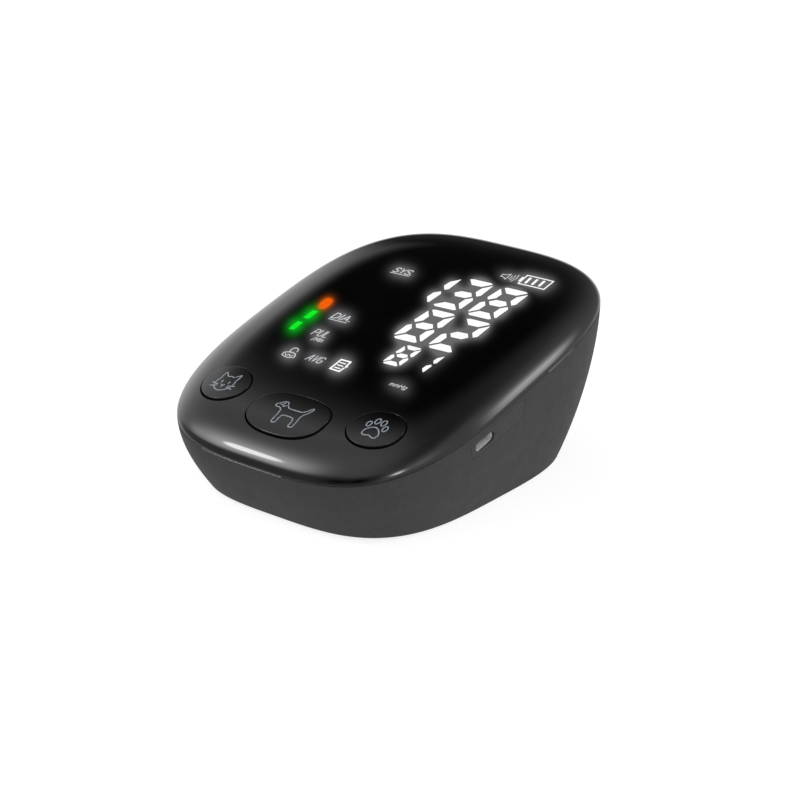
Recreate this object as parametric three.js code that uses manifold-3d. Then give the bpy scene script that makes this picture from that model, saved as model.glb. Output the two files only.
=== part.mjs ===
// Tabletop blood pressure monitor: wedge-shaped case, domed glossy cover, three push buttons,
// supply socket, air pump, valve, boards and battery bay. Millimetres, +Z up, origin at the
// middle of the footprint on the table.
import * as THREE from 'three';
import { mergeVertices } from 'three/addons/utils/BufferGeometryUtils.js';
import Module from 'manifold-3d';

const wasm = await Module();
wasm.setup();

// ---------------------------------------------------------------- driving dimensions
const FOOT = 0.8;                 // feet stand this far below the case
const HALF_W = 59.0, HALF_D = 70.891, TOP_N = 3.1987;          // parting line, plan superellipse
const BASE_W = 48.650, BASE_D = 58.269, BASE_N = 3.424, BASE_Y = -2.467; // base outline
const FLARE = 1.7136;             // how early the flank flares out
const PART_Z = 42.118, SLOPE = 0.2687, SAG = -1.2837;          // parting surface
const DOME_H = 7.8755, DOME_M = 9.4427, DOME_Q = 0.6694;       // cover crown
const WALL = 2.4, COVER = 2.0, PART_GAP = 0.3;
const TILT = Math.atan(SLOPE);
const PANEL_Z = PART_Z + DOME_H;  // panel frame origin height, on the cover's skin
const BTN_GAP = 0.55, BTN_CROWN = 0.12, BTN_TRAVEL = 0.8;
const SIDE_BTN = { x: 32.64, y: -48.0, a: 9.80, b: 7.87, n: 2.0, rot: 14 };
const MID_BTN = { x: 0, y: -53.46, a: 15.70, b: 9.0, n: 2.46, rot: 0 };
const BAY = { x: 32.0, y0: -15.0, y1: 50.0, z1: 19.5, wall: 1.6 };
const FLOOR_Z = 2.4;
const PORT = { y: -23.24, z: 30.04 };
const SOCKET = { y: 8.0, z: 27.0, x: -57.7, bore: 7.6, outer: 11.4 };
const CELL_R = 7.25, CELL_L = 50.5, CELL_PITCH = 15.2, CELL_Y0 = -5.3, CELL_Z = 11.6;
const BOSSES = [[41, -12], [-41, -12], [41, 28], [-41, 28]];
const BOSS_JOINT = 28.0;
const VALVE = { x: 25.5, y: 34, z: 30.2 };      // exhaust valve, axis along Y
const PUMP = { y: 33, z: 33.9 };               // air pump, axis along X
const FEET = [[-35, -45], [35, -45], [-37, 38], [37, 38]];

// ---------------------------------------------------------------- solids
function toSolid(geometry) {
  const g = geometry.index ? geometry.clone() : geometry.clone();
  g.deleteAttribute('normal'); g.deleteAttribute('uv');
  const m = mergeVertices(g, 1e-4);
  const idx = [];
  const src = m.index.array;
  for (let i = 0; i < src.length; i += 3) {
    const a = src[i], b = src[i + 1], c = src[i + 2];
    if (a !== b && b !== c && a !== c) idx.push(a, b, c);
  }
  return new wasm.Manifold(new wasm.Mesh({
    numProp: 3,
    vertProperties: new Float32Array(m.attributes.position.array),
    triVerts: new Uint32Array(idx),
  }));
}
function toGeometry(solid) {
  const mesh = solid.getMesh();
  const pos = new Float32Array(mesh.numVert * 3);
  for (let i = 0; i < mesh.numVert; i++)
    for (let k = 0; k < 3; k++) pos[3 * i + k] = mesh.vertProperties[i * mesh.numProp + k];
  const g = new THREE.BufferGeometry();
  g.setAttribute('position', new THREE.BufferAttribute(pos, 3));
  g.setIndex(new THREE.BufferAttribute(new Uint32Array(mesh.triVerts), 1));
  g.computeVertexNormals();
  return g;
}
const at = (g, x, y, z) => { g.translate(x, y, z); return g; };
const box = (x0, y0, z0, x1, y1, z1) =>
  at(new THREE.BoxGeometry(x1 - x0, y1 - y0, z1 - z0), (x0 + x1) / 2, (y0 + y1) / 2, (z0 + z1) / 2);
function cyl(r, z0, z1, seg = 16, r2 = r) {               // along +Z
  const g = new THREE.CylinderGeometry(r2, r, z1 - z0, seg);
  g.rotateX(Math.PI / 2);
  return at(g, 0, 0, (z0 + z1) / 2);
}
function lathe(profile, seg = 16) {                         // profile [radius, z], axis +Z
  const g = new THREE.LatheGeometry(profile.map((p) => new THREE.Vector2(p[0], p[1])), seg);
  g.rotateX(Math.PI / 2);
  return g;
}
const sub = (a, ...bs) => bs.reduce((s, b) => s.subtract(b), a);
const add = (a, ...bs) => bs.reduce((s, b) => s.add(b), a);

// superellipse point
function se(a, b, n, phi) {
  const c = Math.cos(phi), s = Math.sin(phi);
  return [a * Math.sign(c) * Math.abs(c) ** (2 / n), b * Math.sign(s) * Math.abs(s) ** (2 / n)];
}
// A lathe of unit profile whose rings are moved to the given ring function.
function warped(ringCount, seg, ring) {
  const prof = [];
  for (let i = 0; i < ringCount; i++) {
    const end = i === 0 || i === ringCount - 1;
    prof.push(new THREE.Vector2(end ? 0 : 1, i));
  }
  const g = new THREE.LatheGeometry(prof, seg);
  const p = g.attributes.position;
  for (let j = 0; j <= seg; j++)
    for (let i = 0; i < ringCount; i++) {
      const phi = 2 * Math.PI * (j % seg) / seg;
      const q = ring(i, phi);
      p.setXYZ(j * ringCount + i, q[0], q[1], q[2]);
    }
  let s = toSolid(g);
  if (s.volume() < 0) {
    const idx = g.index.array;
    for (let i = 0; i < idx.length; i += 3) { const t = idx[i]; idx[i] = idx[i + 1]; idx[i + 1] = t; }
    s = toSolid(g);
  }
  return s;
}
const partZ = (y) => PART_Z + SLOPE * y + SAG * (y / HALF_W) ** 2;
const domeZ = (x, y) => {
  const rho = (Math.abs(x / HALF_W) ** TOP_N + Math.abs(y / HALF_D) ** TOP_N) ** (1 / TOP_N);
  return partZ(y) + DOME_H * Math.max(0, 1 - Math.min(1, rho) ** DOME_M) ** DOME_Q;
};
// flank outline at height fraction t, inset by d
function flank(t, d, phi) {
  const g = 1 - (1 - Math.min(1, t)) ** FLARE;
  const a = BASE_W + (HALF_W - BASE_W) * g - d, b = BASE_D + (HALF_D - BASE_D) * g - d;
  const n = BASE_N + (TOP_N - BASE_N) * g;
  const q = se(a, b, n, phi);
  return [q[0], q[1] + BASE_Y * (1 - g)];
}
// filled lower body: inset d, floor at zf, top at the parting surface plus rise
function lowerSolid(d, zf, rise, seg = 44) {
  const T = [0, 0.15, 0.36, 0.64, 1];
  return warped(T.length + 2, seg, (i, phi) => {
    if (i === 0) return [0, BASE_Y, zf];
    if (i === T.length + 1) return [0, 0, partZ(0) + rise];
    const t = T[i - 1];
    let z = 0, x = 0, y = 0, te = t;
    for (let k = 0; k < 4; k++) {
      [x, y] = flank(te, d, phi);
      const top = partZ(y) + rise;
      z = zf + t * (top - zf);
      te = z / partZ(y);
    }
    return [x, y, z];
  });
}
// filled cover: inset d, lower edge at the parting surface plus drop
function coverSolid(d, drop, seg = 44) {
  const R = [1, 0.99, 0.962, 0.9, 0.78];
  const rings = R.length + (drop < 0 ? 1 : 0);
  return warped(rings + 2, seg, (i, phi) => {
    if (i === 0) return [0, 0, partZ(0) + drop];
    if (i === rings + 1) return [0, 0, domeZ(0, 0) - d];
    let k = i - 1, low = false;
    if (drop < 0) { if (k === 0) low = true; else k -= 1; }
    const r = R[k];
    const [x, y] = se((HALF_W - d) * r, (HALF_D - d) * r, TOP_N, phi);
    if (low) return [x, y, partZ(y) + drop];
    return [x, y, partZ(y) + (DOME_H - d) * Math.max(0, 1 - r ** DOME_M) ** DOME_Q];
  });
}
// panel frame: u = x, v up the slope, w out of the panel
const panel = new THREE.Matrix4().makeRotationX(TILT).setPosition(0, 0, PANEL_Z);
const onPanel = (g) => { g.applyMatrix4(panel); return g; };
const NORMAL = new THREE.Vector3(0, -Math.sin(TILT), Math.cos(TILT));
const toPanel = (x, y, z) => new THREE.Vector3(x, y, z).applyMatrix4(panel.clone().invert());

// ---------------------------------------------------------------- scene helpers
const monitor = new THREE.Group();
const lift = new THREE.Group();           // everything sits on the feet
lift.position.z = FOOT;
monitor.add(lift);
function piece(name, shape, color, roughness = 0.6, metalness = 0) {
  const geometry = shape.getMesh ? toGeometry(shape) : shape;
  const mesh = new THREE.Mesh(geometry, new THREE.MeshStandardMaterial({ color, roughness, metalness }));
  mesh.name = name;
  lift.add(mesh);
  return mesh;
}

// ---------------------------------------------------------------- buttons and their openings
// prism along the panel normal whose ends are at heights w0 and w1 over the button's centre
const turned = (btn, q) => {
  const r = btn.rot * Math.PI / 180, c = Math.cos(r), n = Math.sin(r);
  return [q[0] * c - q[1] * n, q[0] * n + q[1] * c];
};
function plug(btn, grow, w0, w1, seg) {
  const c = new THREE.Vector3(btn.x, btn.y, domeZ(btn.x, btn.y));
  const e1 = new THREE.Vector3(1, 0, 0), e2 = new THREE.Vector3(0, Math.cos(TILT), Math.sin(TILT));
  return warped(4, seg, (i, phi) => {
    const w = i < 2 ? w0 : w1;
    const q = i === 0 || i === 3 ? [0, 0] : turned(btn, se(btn.a + grow, btn.b + grow * Math.cos(TILT), btn.n, phi));
    const p = c.clone().addScaledVector(e1, q[0]).addScaledVector(e2, q[1] / Math.cos(TILT)).addScaledVector(NORMAL, w);
    return [p.x, p.y, p.z];
  });
}
function buttonBody(btn, seg) {
  const c = new THREE.Vector3(btn.x, btn.y, domeZ(btn.x, btn.y));
  const e1 = new THREE.Vector3(1, 0, 0), e2 = new THREE.Vector3(0, Math.cos(TILT), Math.sin(TILT));
  const F = [1, 0.95, 0.7];
  const drop = [0.55, 0.1, 0];
  return warped(F.length + 3, seg, (i, phi) => {
    const last = F.length + 2;
    if (i === 0) { const p = c.clone().addScaledVector(NORMAL, -6.0); return [p.x, p.y, p.z]; }
    if (i === last) return [btn.x, btn.y, c.z + BTN_CROWN];
    const f = i === 1 ? 1 : F[i - 2];
    const q = turned(btn, se(btn.a * f, btn.b * f, btn.n, phi));
    const x = btn.x + q[0], y = btn.y + q[1];
    const z = domeZ(x, y) + BTN_CROWN * (1 - f * f) + 0.25 - (i === 1 ? 0 : drop[i - 2]);
    const p = new THREE.Vector3(x, y, z);
    if (i === 1) {
      const w = p.clone().sub(c).dot(NORMAL);
      p.addScaledVector(NORMAL, -6.0 - w);
    }
    return [p.x, p.y, p.z];
  });
}
const BUTTONS = [
  ['left_button', { ...SIDE_BTN, x: -SIDE_BTN.x, rot: -SIDE_BTN.rot }, 20],
  ['start_button', MID_BTN, 24],
  ['right_button', SIDE_BTN, 20],
];
const SWITCH_TOP = -12.9;                 // panel w of the switch plungers
for (const [name, btn, seg] of BUTTONS) {
  const cw = toPanel(btn.x, btn.y, domeZ(btn.x, btn.y));
  const flangeTop = name === 'start_button' ? -4.9 : -4.2;
  const body = buttonBody(btn, seg);
  const flange = plug(btn, 1.3, -6.0, flangeTop, seg);
  const stem = toSolid(onPanel(at(cyl(2.2, SWITCH_TOP + BTN_TRAVEL + 0.15, cw.z - 5.5, 8), cw.x, cw.y, 0)));
  piece(name, add(body, flange, stem), 0x2b2d2f, 0.35);
}

// ---------------------------------------------------------------- cover
let cover = sub(coverSolid(0, 0), coverSolid(COVER, -5));
for (const [x, y] of BOSSES) {
  const boss = toSolid(at(cyl(3.6, BOSS_JOINT + 0.3, 75, 10), x, y, 0));
  cover = cover.add(boss.intersect(coverSolid(0.9, -30, 24)));
  cover = cover.subtract(toSolid(at(cyl(1.55, BOSS_JOINT - 5, BOSS_JOINT + 9, 8), x, y, 0)));
}
for (const [, btn, seg] of BUTTONS) cover = cover.subtract(plug(btn, BTN_GAP, -9, 6, seg));
piece('front_cover', cover, 0x08090a, 0.12);

// ---------------------------------------------------------------- rear case
let shell = sub(lowerSolid(0, 0, -PART_GAP), lowerSolid(WALL, FLOOR_Z, 6));
// tongue inside the cover's rim
const lipBand = sub(add(lowerSolid(1.2, FLOOR_Z, -0.6, 36), lowerSolid(3.3, FLOOR_Z, 1.2, 36)), lowerSolid(4.4, FLOOR_Z - 1, 6, 36));
const upper = toSolid(box(-80, -90, -3.2, 80, 90, 30).applyMatrix4(
  new THREE.Matrix4().makeRotationX(TILT).setPosition(0, 0, PART_Z - 1.0)));
shell = shell.add(lipBand.intersect(upper));
// battery bay
const B = BAY, bw = BAY.wall;
shell = shell.add(toSolid(box(-B.x - bw, B.y0 - bw, 1.0, B.x + bw, B.y1 + bw, B.z1 + bw))
  .intersect(lowerSolid(1.2, 0.6, 0)));
shell = shell.subtract(toSolid(box(-B.x, B.y0, FLOOR_Z + 1.6, B.x, B.y1, B.z1)));
shell = shell.subtract(toSolid(box(-B.x + 0.9, B.y0 + 0.9, -1, B.x - 0.9, B.y1 - 0.9, FLOOR_Z + 3)));
// hook slots beside the door's front edge
for (const x of [-18, 18])
  shell = shell.subtract(toSolid(box(x - 4.4, B.y0 - 1.2, FLOOR_Z + 0.2, x + 4.4, B.y0 + 2, FLOOR_Z + 4.2)));
// board posts: on the bay roof and on the floor
const boardUnder = (y) => PANEL_Z + SLOPE * y - 16.6 / Math.cos(TILT);
for (const [x, y, z0] of [[30, -6, B.z1 + 1], [-30, -6, B.z1 + 1], [20, -40, 1.4], [-20, -40, 1.4]])
  shell = shell.add(toSolid(at(cyl(2.4, z0, boardUnder(y) - 1.1, 8), x, y, 0)));
// screw bosses with deep counterbores
for (const [x, y] of BOSSES) {
  shell = shell.add(toSolid(at(cyl(4.1, 0.5, BOSS_JOINT, 10), x, y, 0)));
  shell = shell.subtract(toSolid(at(cyl(2.95, -1, BOSS_JOINT - 6, 10), x, y, 0)));
  shell = shell.subtract(toSolid(at(cyl(1.7, -1, BOSS_JOINT + 1, 8), x, y, 0)));
}
// pockets for the feet
for (const [x, y] of FEET) shell = shell.subtract(toSolid(at(cyl(5.2, -1, 1.0, 14), x, y, 0)));
// sound holes under the speaker
for (const [x, y] of [[0, -38], [4, -38], [-4, -38], [2, -34.5], [-2, -34.5], [2, -41.5], [-2, -41.5]])
  shell = shell.subtract(toSolid(at(cyl(0.9, -1, 4, 5), x, y, 0)));
// air socket hole
const alongX = (g) => { g.rotateY(-Math.PI / 2); return g; };       // +Z to -X
shell = shell.subtract(toSolid(at(alongX(cyl(SOCKET.outer / 2 + 0.2, 45, 70, 16)), 0, SOCKET.y, SOCKET.z)));
// supply socket: plate recess and slot
const portFrame = new THREE.Matrix4().makeRotationX(TILT).setPosition(0, PORT.y, PORT.z);
const onPort = (g) => { g.applyMatrix4(portFrame); return g; };
const PLATE = { v0: -6.6, v1: 21.4, w0: -3.35, w1: 3.35 };
shell = shell.subtract(
  toSolid(onPort(box(40, PLATE.v0 - 0.25, PLATE.w0 - 0.25, 70, PLATE.v1 + 0.25, PLATE.w1 + 0.25)))
    .subtract(lowerSolid(0.75, -1, 1)));
function slotOutline(len, hgt, seg = 6) {
  const r = hgt / 2, s = new THREE.Shape();
  s.moveTo(-len / 2 + r, -r); s.lineTo(len / 2 - r, -r);
  s.absarc(len / 2 - r, 0, r, -Math.PI / 2, Math.PI / 2, false);
  s.lineTo(-len / 2 + r, r);
  s.absarc(-len / 2 + r, 0, r, Math.PI / 2, 1.5 * Math.PI, false);
  return s;
}
// extrude of a (v, w) outline along +X
function alongPort(shape, x0, x1, seg = 5) {
  const g = new THREE.ExtrudeGeometry(shape, { depth: x1 - x0, bevelEnabled: false, curveSegments: seg });
  g.applyMatrix4(new THREE.Matrix4().set(0, 0, 1, 0, 1, 0, 0, 0, 0, 1, 0, 0, 0, 0, 0, 1));
  g.translate(x0, 0, 0);
  return onPort(g);
}
const slotCut = toSolid(alongPort(slotOutline(9.4, 3.7), 45, 70));
shell = shell.subtract(slotCut);
piece('rear_case', shell, 0x434446, 0.62);

// ---------------------------------------------------------------- supply socket
const plate = toSolid(onPort(box(40, PLATE.v0, PLATE.w0, 70, PLATE.v1, PLATE.w1)))
  .intersect(sub(lowerSolid(0.02, 0, -PART_GAP), lowerSolid(0.6, -1, 1)))
  .subtract(slotCut);
piece('port_plate', plate, 0x3b3c3e, 0.5);
const usb = new THREE.Group();
const usbShell = sub(toSolid(alongPort(slotOutline(8.94, 3.26), 49.6, 57.2)),
  toSolid(alongPort(slotOutline(8.3, 2.62), 49.0, 58)));
piece('usb_shell', usbShell, 0xb8babd, 0.3, 1);
const tongue = add(toSolid(alongPort(slotOutline(8.1, 2.42), 49.7, 51.3)),
  toSolid(onPort(box(51.0, -3.3, -0.35, 55.6, 3.3, 0.35))));
piece('usb_tongue', tongue, 0x17181a, 0.5);

// ---------------------------------------------------------------- air socket and tubes
// local profile: z is the distance inwards from the mouth
const sock = lathe([[SOCKET.bore / 2, 0], [SOCKET.outer / 2, 0], [SOCKET.outer / 2, 8], [3.6, 8.6], [2.0, 9.4],
  [2.0, 14.5], [1.0, 14.5], [1.0, 8.8], [SOCKET.bore / 2 - 0.4, 8.0], [SOCKET.bore / 2, 0]], 16);
sock.rotateY(Math.PI / 2);
piece('air_socket', toSolid(at(sock, SOCKET.x, SOCKET.y, SOCKET.z)), 0x2e2f31, 0.5);

function tube(points, r, steps, sides = 8) {
  const s = new THREE.Shape();
  for (let i = 0; i < sides; i++) {
    const a = 2 * Math.PI * i / sides;
    if (i) s.lineTo(r * Math.cos(a), r * Math.sin(a)); else s.moveTo(r * Math.cos(a), r * Math.sin(a));
  }
  const path = new THREE.CatmullRomCurve3(points.map((p) => new THREE.Vector3(...p)));
  return toSolid(new THREE.ExtrudeGeometry(s, { steps, bevelEnabled: false, extrudePath: path }));
}
const TEE = [-28, 8, 24.7];
const tee = add(
  toSolid(at(new THREE.BoxGeometry(6, 6, 5.6), ...TEE)),
  toSolid(at(alongX(cyl(1.3, 2, 7, 6)), ...TEE)),
  toSolid(at(alongX(cyl(1.3, -7, -2, 6)), ...TEE)),
  toSolid(at(cyl(1.3, 2, 6, 6), ...TEE)),
  toSolid(at(new THREE.CylinderGeometry(1.3, 1.3, 4, 6), TEE[0], TEE[1] - 4.5, TEE[2])));
piece('air_tee', tee, 0xd8d9d5, 0.5);
const SOCK_IN = SOCKET.x + 14.5;
piece('socket_tube', tube([[SOCK_IN + 0.5, 8, 27], [-41, 8, 26.7], [-37.2, 8, 25.0], [TEE[0] - 7.3, 8, TEE[2]]], 1.9, 5, 7), 0xcfd2d4, 0.4);
piece('pump_tube', tube([[-28, 8.3, 31.5], [-28, 9.1, 32.3], [-28.2, 11.2, 33.0], [-28.4, 13.6, 33.7], [-28.5, 16.1, 33.9]], 1.75, 7, 7), 0xcfd2d4, 0.4);
piece('valve_tube', tube([[TEE[0] + 7.3, 8, TEE[2]], [-12, 8.2, 24.4], [0, 10, 24.2], [10, 12, 25], [16, 14.5, 27.6], [21, 18.6, 29.8], [VALVE.x - 0.4, 22.0, VALVE.z], [VALVE.x, 25.7, VALVE.z]], 1.9, 12, 7), 0xcfd2d4, 0.4);
piece('sensor_tube', tube([[-28, 1.2, TEE[2]], [-27.6, -2.4, 24.4], [-24, -4.6, 23.6], [-18, -4.0, 23.4], [-13.2, -1.6, 23.6], [-10.4, 1.6, 24.6], [-9.9, 3.2, 26.6]], 1.6, 12, 6), 0xcfd2d4, 0.4);

// ---------------------------------------------------------------- boards
const poly = (pts) => {
  const s = new THREE.Shape(); pts.forEach((p, i) => (i ? s.lineTo(...p) : s.moveTo(...p))); return s;
};
const slab = (shape, w0, w1) => at(new THREE.ExtrudeGeometry(shape, { depth: w1 - w0, bevelEnabled: false, curveSegments: 4 }), 0, 0, w0);
const K = 1 / Math.cos(TILT);
// board outline in panel coordinates; v is measured from the panel origin plumb line
const vAt = (y, w) => y * K + w * Math.tan(TILT);   // panel v of a point at plan y and height w
const v = (y) => vAt(y, -15.8);
piece('main_board', toSolid(onPanel(slab(poly([[-36.3, v(14)], [-36.3, v(-41)], [-40, v(-43)], [-40, v(-54)], [-34, v(-58.5)],
  [34, v(-58.5)], [40, v(-54)], [40, v(-43)], [36.3, v(-41)], [36.3, v(-32)], [52.9, v(-32)], [52.9, v(-17.2)], [36.3, v(-17.2)],
  [36.3, v(14)]]), -16.6, -15.2))), 0x1f5d3a, 0.5);
const vd = (y) => vAt(y, -8.4);
piece('display_board', toSolid(onPanel(slab(poly([[-36.3, vd(-33)], [36.3, vd(-33)], [36.3, vd(50)], [-36.3, vd(50)]]), -9.2, -8.0))), 0x1f5d3a, 0.5);
const module3 = (name, x0, y0, x1, y1, color) =>
  piece(name, toSolid(onPanel(box(x0, vAt(y0, -5.5), -7.7, x1, vAt(y1, -5.5), -3.1))), color, 0.5);
module3('sys_digit_module', 1.0, 15.6, 34.5, 37.6, 0x101112);
module3('dia_digit_module', 1.0, -6.0, 34.5, 15.0, 0x101112);
module3('pulse_digit_module', 1.0, -20.6, 34.5, -6.6, 0x101112);
module3('level_bar_module', -36.0, -18.0, -30.0, 10.0, 0x101112);
const sw = (name, x, y) => {
  const c = toPanel(x, y, domeZ(x, y));
  piece(name, toSolid(onPanel(add2(box(-3, -3, -14.9, 3, 3, -13.4), cyl(1.6, -14, SWITCH_TOP, 12)).map((g) => at(g, c.x, c.y, 0)).reduce(joinGeo))), 0x2a2a2a, 0.5);
};
function add2(...g) { return g; }
function joinGeo(a, b) { return toGeometry(toSolid(a).add(toSolid(b))); }
sw('left_switch', -SIDE_BTN.x, SIDE_BTN.y);
sw('start_switch', 0, MID_BTN.y);
sw('right_switch', SIDE_BTN.x, SIDE_BTN.y);
piece('controller_chip', toSolid(onPanel(box(-6, v(-30), -14.9, 6, v(-30) + 12, -13.3))), 0x141414, 0.5);
piece('flex_cable', toSolid(onPanel(box(-12, v(-14), -14.9, 12, v(-14) + 0.4, -9.5))), 0xb98c3a, 0.5);
const sensorC = [-9.9, 5, boardUnder(5) - 0.6];
piece('pressure_sensor', add(
  toSolid(onPanel(box(-15.4, v(0), -20.6, -4.4, v(10), -16.9))),
  toSolid(at(cyl(1.4, 27.6, 31, 8), -9.9, 3.2, 0))), 0xe4e4e0, 0.5);

// ---------------------------------------------------------------- pump (axis along X)
const inPump = (g) => at(g, 0, PUMP.y, PUMP.z);
const motor = sub(toSolid(inPump(alongX(lathe([[0, -14], [4, -14], [4, -12], [11.6, -12], [11.9, -11.6], [11.9, 13], [6, 13], [6, 14.2], [0, 14.2]], 16)))),
  toSolid(inPump(alongX(cyl(1.12, -11, 16, 10)))));
piece('pump_motor', motor, 0xb9bbbd, 0.35, 1);
const shaft = add(toSolid(inPump(alongX(cyl(1.0, -10.6, 16.4, 10)))),
  toSolid(inPump(at(alongX(cyl(3.4, 15.2, 19, 12)), 0, 0, 1.0))));
piece('motor_shaft', shaft, 0xd0d0d0, 0.3, 1);
const housing = sub(toSolid(inPump(alongX(cyl(12.2, 14.6, 24.2, 16)))),
  toSolid(inPump(alongX(cyl(10.6, 14.9, 23, 16)))),
  toSolid(inPump(alongX(cyl(6.4, 14, 15.6, 12)))),
  toSolid(inPump(alongX(cyl(9.0, 22, 25, 14)))));
piece('pump_housing', housing, 0x1c1d1f, 0.5);
piece('pump_diaphragm', toSolid(inPump(alongX(lathe([[0, 20.6], [5.6, 20.6], [6.4, 24.5], [12.0, 24.5], [12.0, 25.6], [0, 25.6]], 14)))), 0x2c2c2c, 0.8);
const cap = add(toSolid(inPump(alongX(cyl(12.2, 25.9, 31.2, 16)))),
  toSolid(at(new THREE.CylinderGeometry(1.3, 1.3, 6, 6), -28.5, PUMP.y - 13.6, PUMP.z)));
piece('pump_cap', cap, 0x1c1d1f, 0.5);

// ---------------------------------------------------------------- exhaust valve (axis along Y)
const alongY = (g) => { g.rotateX(-Math.PI / 2); return g; };       // +Z to +Y
const inValve = (g) => at(g, VALVE.x, VALVE.y, VALVE.z);
const vbody = sub(toSolid(inValve(alongY(lathe([[0, -8.0], [7.6, -8.0], [7.6, 10], [0, 10]], 14)))),
  toSolid(inValve(alongY(cyl(2.4, -5.6, 12, 12)))),
  toSolid(inValve(alongY(cyl(0.7, -10, 0, 8)))));
piece('valve_body', vbody, 0xa9abad, 0.35, 1);
piece('valve_plunger', toSolid(inValve(alongY(lathe([[0, -4.6], [1.4, -4.6], [2.25, -3.2], [2.25, 13.2], [0, 13.2]], 12)))), 0xcfcfcf, 0.3, 1);

// ---------------------------------------------------------------- speaker
piece('speaker', toSolid(at(lathe([[0, 2.8], [9.6, 2.8], [9.6, 4.6], [5.6, 5.0], [5.6, 7.6], [0, 7.6]], 16), 0, -37.8, 0)), 0x3a3a3c, 0.5);

// ---------------------------------------------------------------- battery door, cells, contacts
const door = add(
  toSolid(box(-B.x + 1.3, B.y0 + 1.3, 0.25, B.x - 1.3, B.y1 - 1.3, 2.3)),
  toSolid(box(-B.x + 4, B.y0 + 3.2, 2.1, B.x - 4, B.y0 + 4.6, 3.4)),
  toSolid(box(-B.x + 4, B.y1 - 4.6, 2.1, B.x - 4, B.y1 - 3.2, 3.4)));
let doorSolid = door;
for (const x of [-18, 18]) {
  doorSolid = add(doorSolid,
    toSolid(box(x - 4, B.y0 + 1.3, 2.1, x + 4, B.y0 + 2.5, 4.4)),
    toSolid(box(x - 4, B.y0 - 0.6, 3.2, x + 4, B.y0 + 2.5, 4.4)));
}
// finger scoop at the latch end
doorSolid = doorSolid.subtract(toSolid(at(alongX(cyl(6, -8, 8, 16)), 0, B.y1 - 7, -4.9)));
piece('battery_door', doorSolid, 0x434446, 0.62);

for (let i = 0; i < 4; i++) {
  const y = CELL_Y0 + 0.35 + i * CELL_PITCH, dir = i % 2 ? -1 : 1;
  const L = CELL_L / 2;
  const g = lathe([[0, -L], [6.6, -L], [CELL_R, -L + 0.7], [CELL_R, L - 1.9], [6.4, L - 1.2], [2.75, L - 1.2], [2.75, L], [0, L]], 14);
  g.rotateY(dir * Math.PI / 2);
  piece(`battery_cell_${i + 1}`, toSolid(at(g, dir * 1.9, y, CELL_Z)), 0x2f5f8f, 0.4, 0.3);
  // negative end spring, a cone of wire
  const pts = [], turns = 2.5, n = 20, x0 = -dir * (B.x - 2.0), x1 = -dir * (L - 1.9 + 0.7);
  for (let k = 0; k <= n; k++) {
    const f = k / n, a = 2 * Math.PI * turns * f, r = 4.6 - 2.0 * f;
    pts.push([x0 + (x1 - x0) * f, y + r * Math.cos(a), CELL_Z + r * Math.sin(a)]);
  }
  piece(`contact_spring_${i + 1}`, tube(pts, 0.4, 24, 4), 0xc9cbcd, 0.3, 1);
}
const yc = (i) => CELL_Y0 + 0.35 + i * CELL_PITCH;
const contact = (name, side, i0, i1) => {
  const x0 = side * (B.x - 0.3), x1 = side * (B.x - 0.9);
  piece(name, toSolid(box(Math.min(x0, x1), yc(i0) - 5.8, 6, Math.max(x0, x1), yc(i1) + 5.8, 17.5)), 0xc9cbcd, 0.3, 1);
};
contact('contact_negative', -1, 0, 0);
contact('bridge_contact_2', -1, 1, 2);
contact('contact_positive', -1, 3, 3);
contact('bridge_contact_1', 1, 0, 1);
contact('bridge_contact_3', 1, 2, 3);

// ---------------------------------------------------------------- feet and screws
FEET.forEach(([x, y], i) => piece(`foot_${i + 1}`,
  toSolid(at(lathe([[0, -FOOT], [4.5, -FOOT], [4.9, -FOOT + 0.4], [4.9, 0.7], [0, 0.7]], 14), x, y, 0)), 0x202020, 0.85));
BOSSES.forEach(([x, y], i) => {
  const h = BOSS_JOINT - 6.3;
  const screw = toSolid(at(lathe([[0, h - 2.2], [2.6, h - 2.2], [2.6, h], [1.3, h], [1.3, h + 13.2], [0, h + 14.2]], 8), x, y, 0))
    .subtract(toSolid(at(box(-0.4, -1.9, h - 3, 0.4, 1.9, h - 1.2), x, y, 0)));
  piece(`case_screw_${i + 1}`, screw, 0x9a9c9e, 0.35, 1);
});

export default monitor;
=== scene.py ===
import math

import bmesh
import bpy
import numpy as np
from mathutils import Matrix, Vector
from mathutils.geometry import delaunay_2d_cdt


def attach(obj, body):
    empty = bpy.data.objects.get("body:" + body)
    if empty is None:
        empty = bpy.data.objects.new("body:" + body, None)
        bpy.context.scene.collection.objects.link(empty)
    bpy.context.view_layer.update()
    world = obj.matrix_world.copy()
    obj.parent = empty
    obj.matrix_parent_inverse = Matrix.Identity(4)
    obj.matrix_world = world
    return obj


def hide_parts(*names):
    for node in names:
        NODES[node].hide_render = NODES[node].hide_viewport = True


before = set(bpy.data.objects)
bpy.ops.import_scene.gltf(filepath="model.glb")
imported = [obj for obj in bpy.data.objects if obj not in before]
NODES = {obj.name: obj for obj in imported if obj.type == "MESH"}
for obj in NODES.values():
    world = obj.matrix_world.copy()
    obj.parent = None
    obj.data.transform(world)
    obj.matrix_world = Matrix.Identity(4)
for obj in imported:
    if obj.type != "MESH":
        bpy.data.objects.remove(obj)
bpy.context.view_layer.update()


scene = bpy.context.scene
COLL = scene.collection

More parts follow.
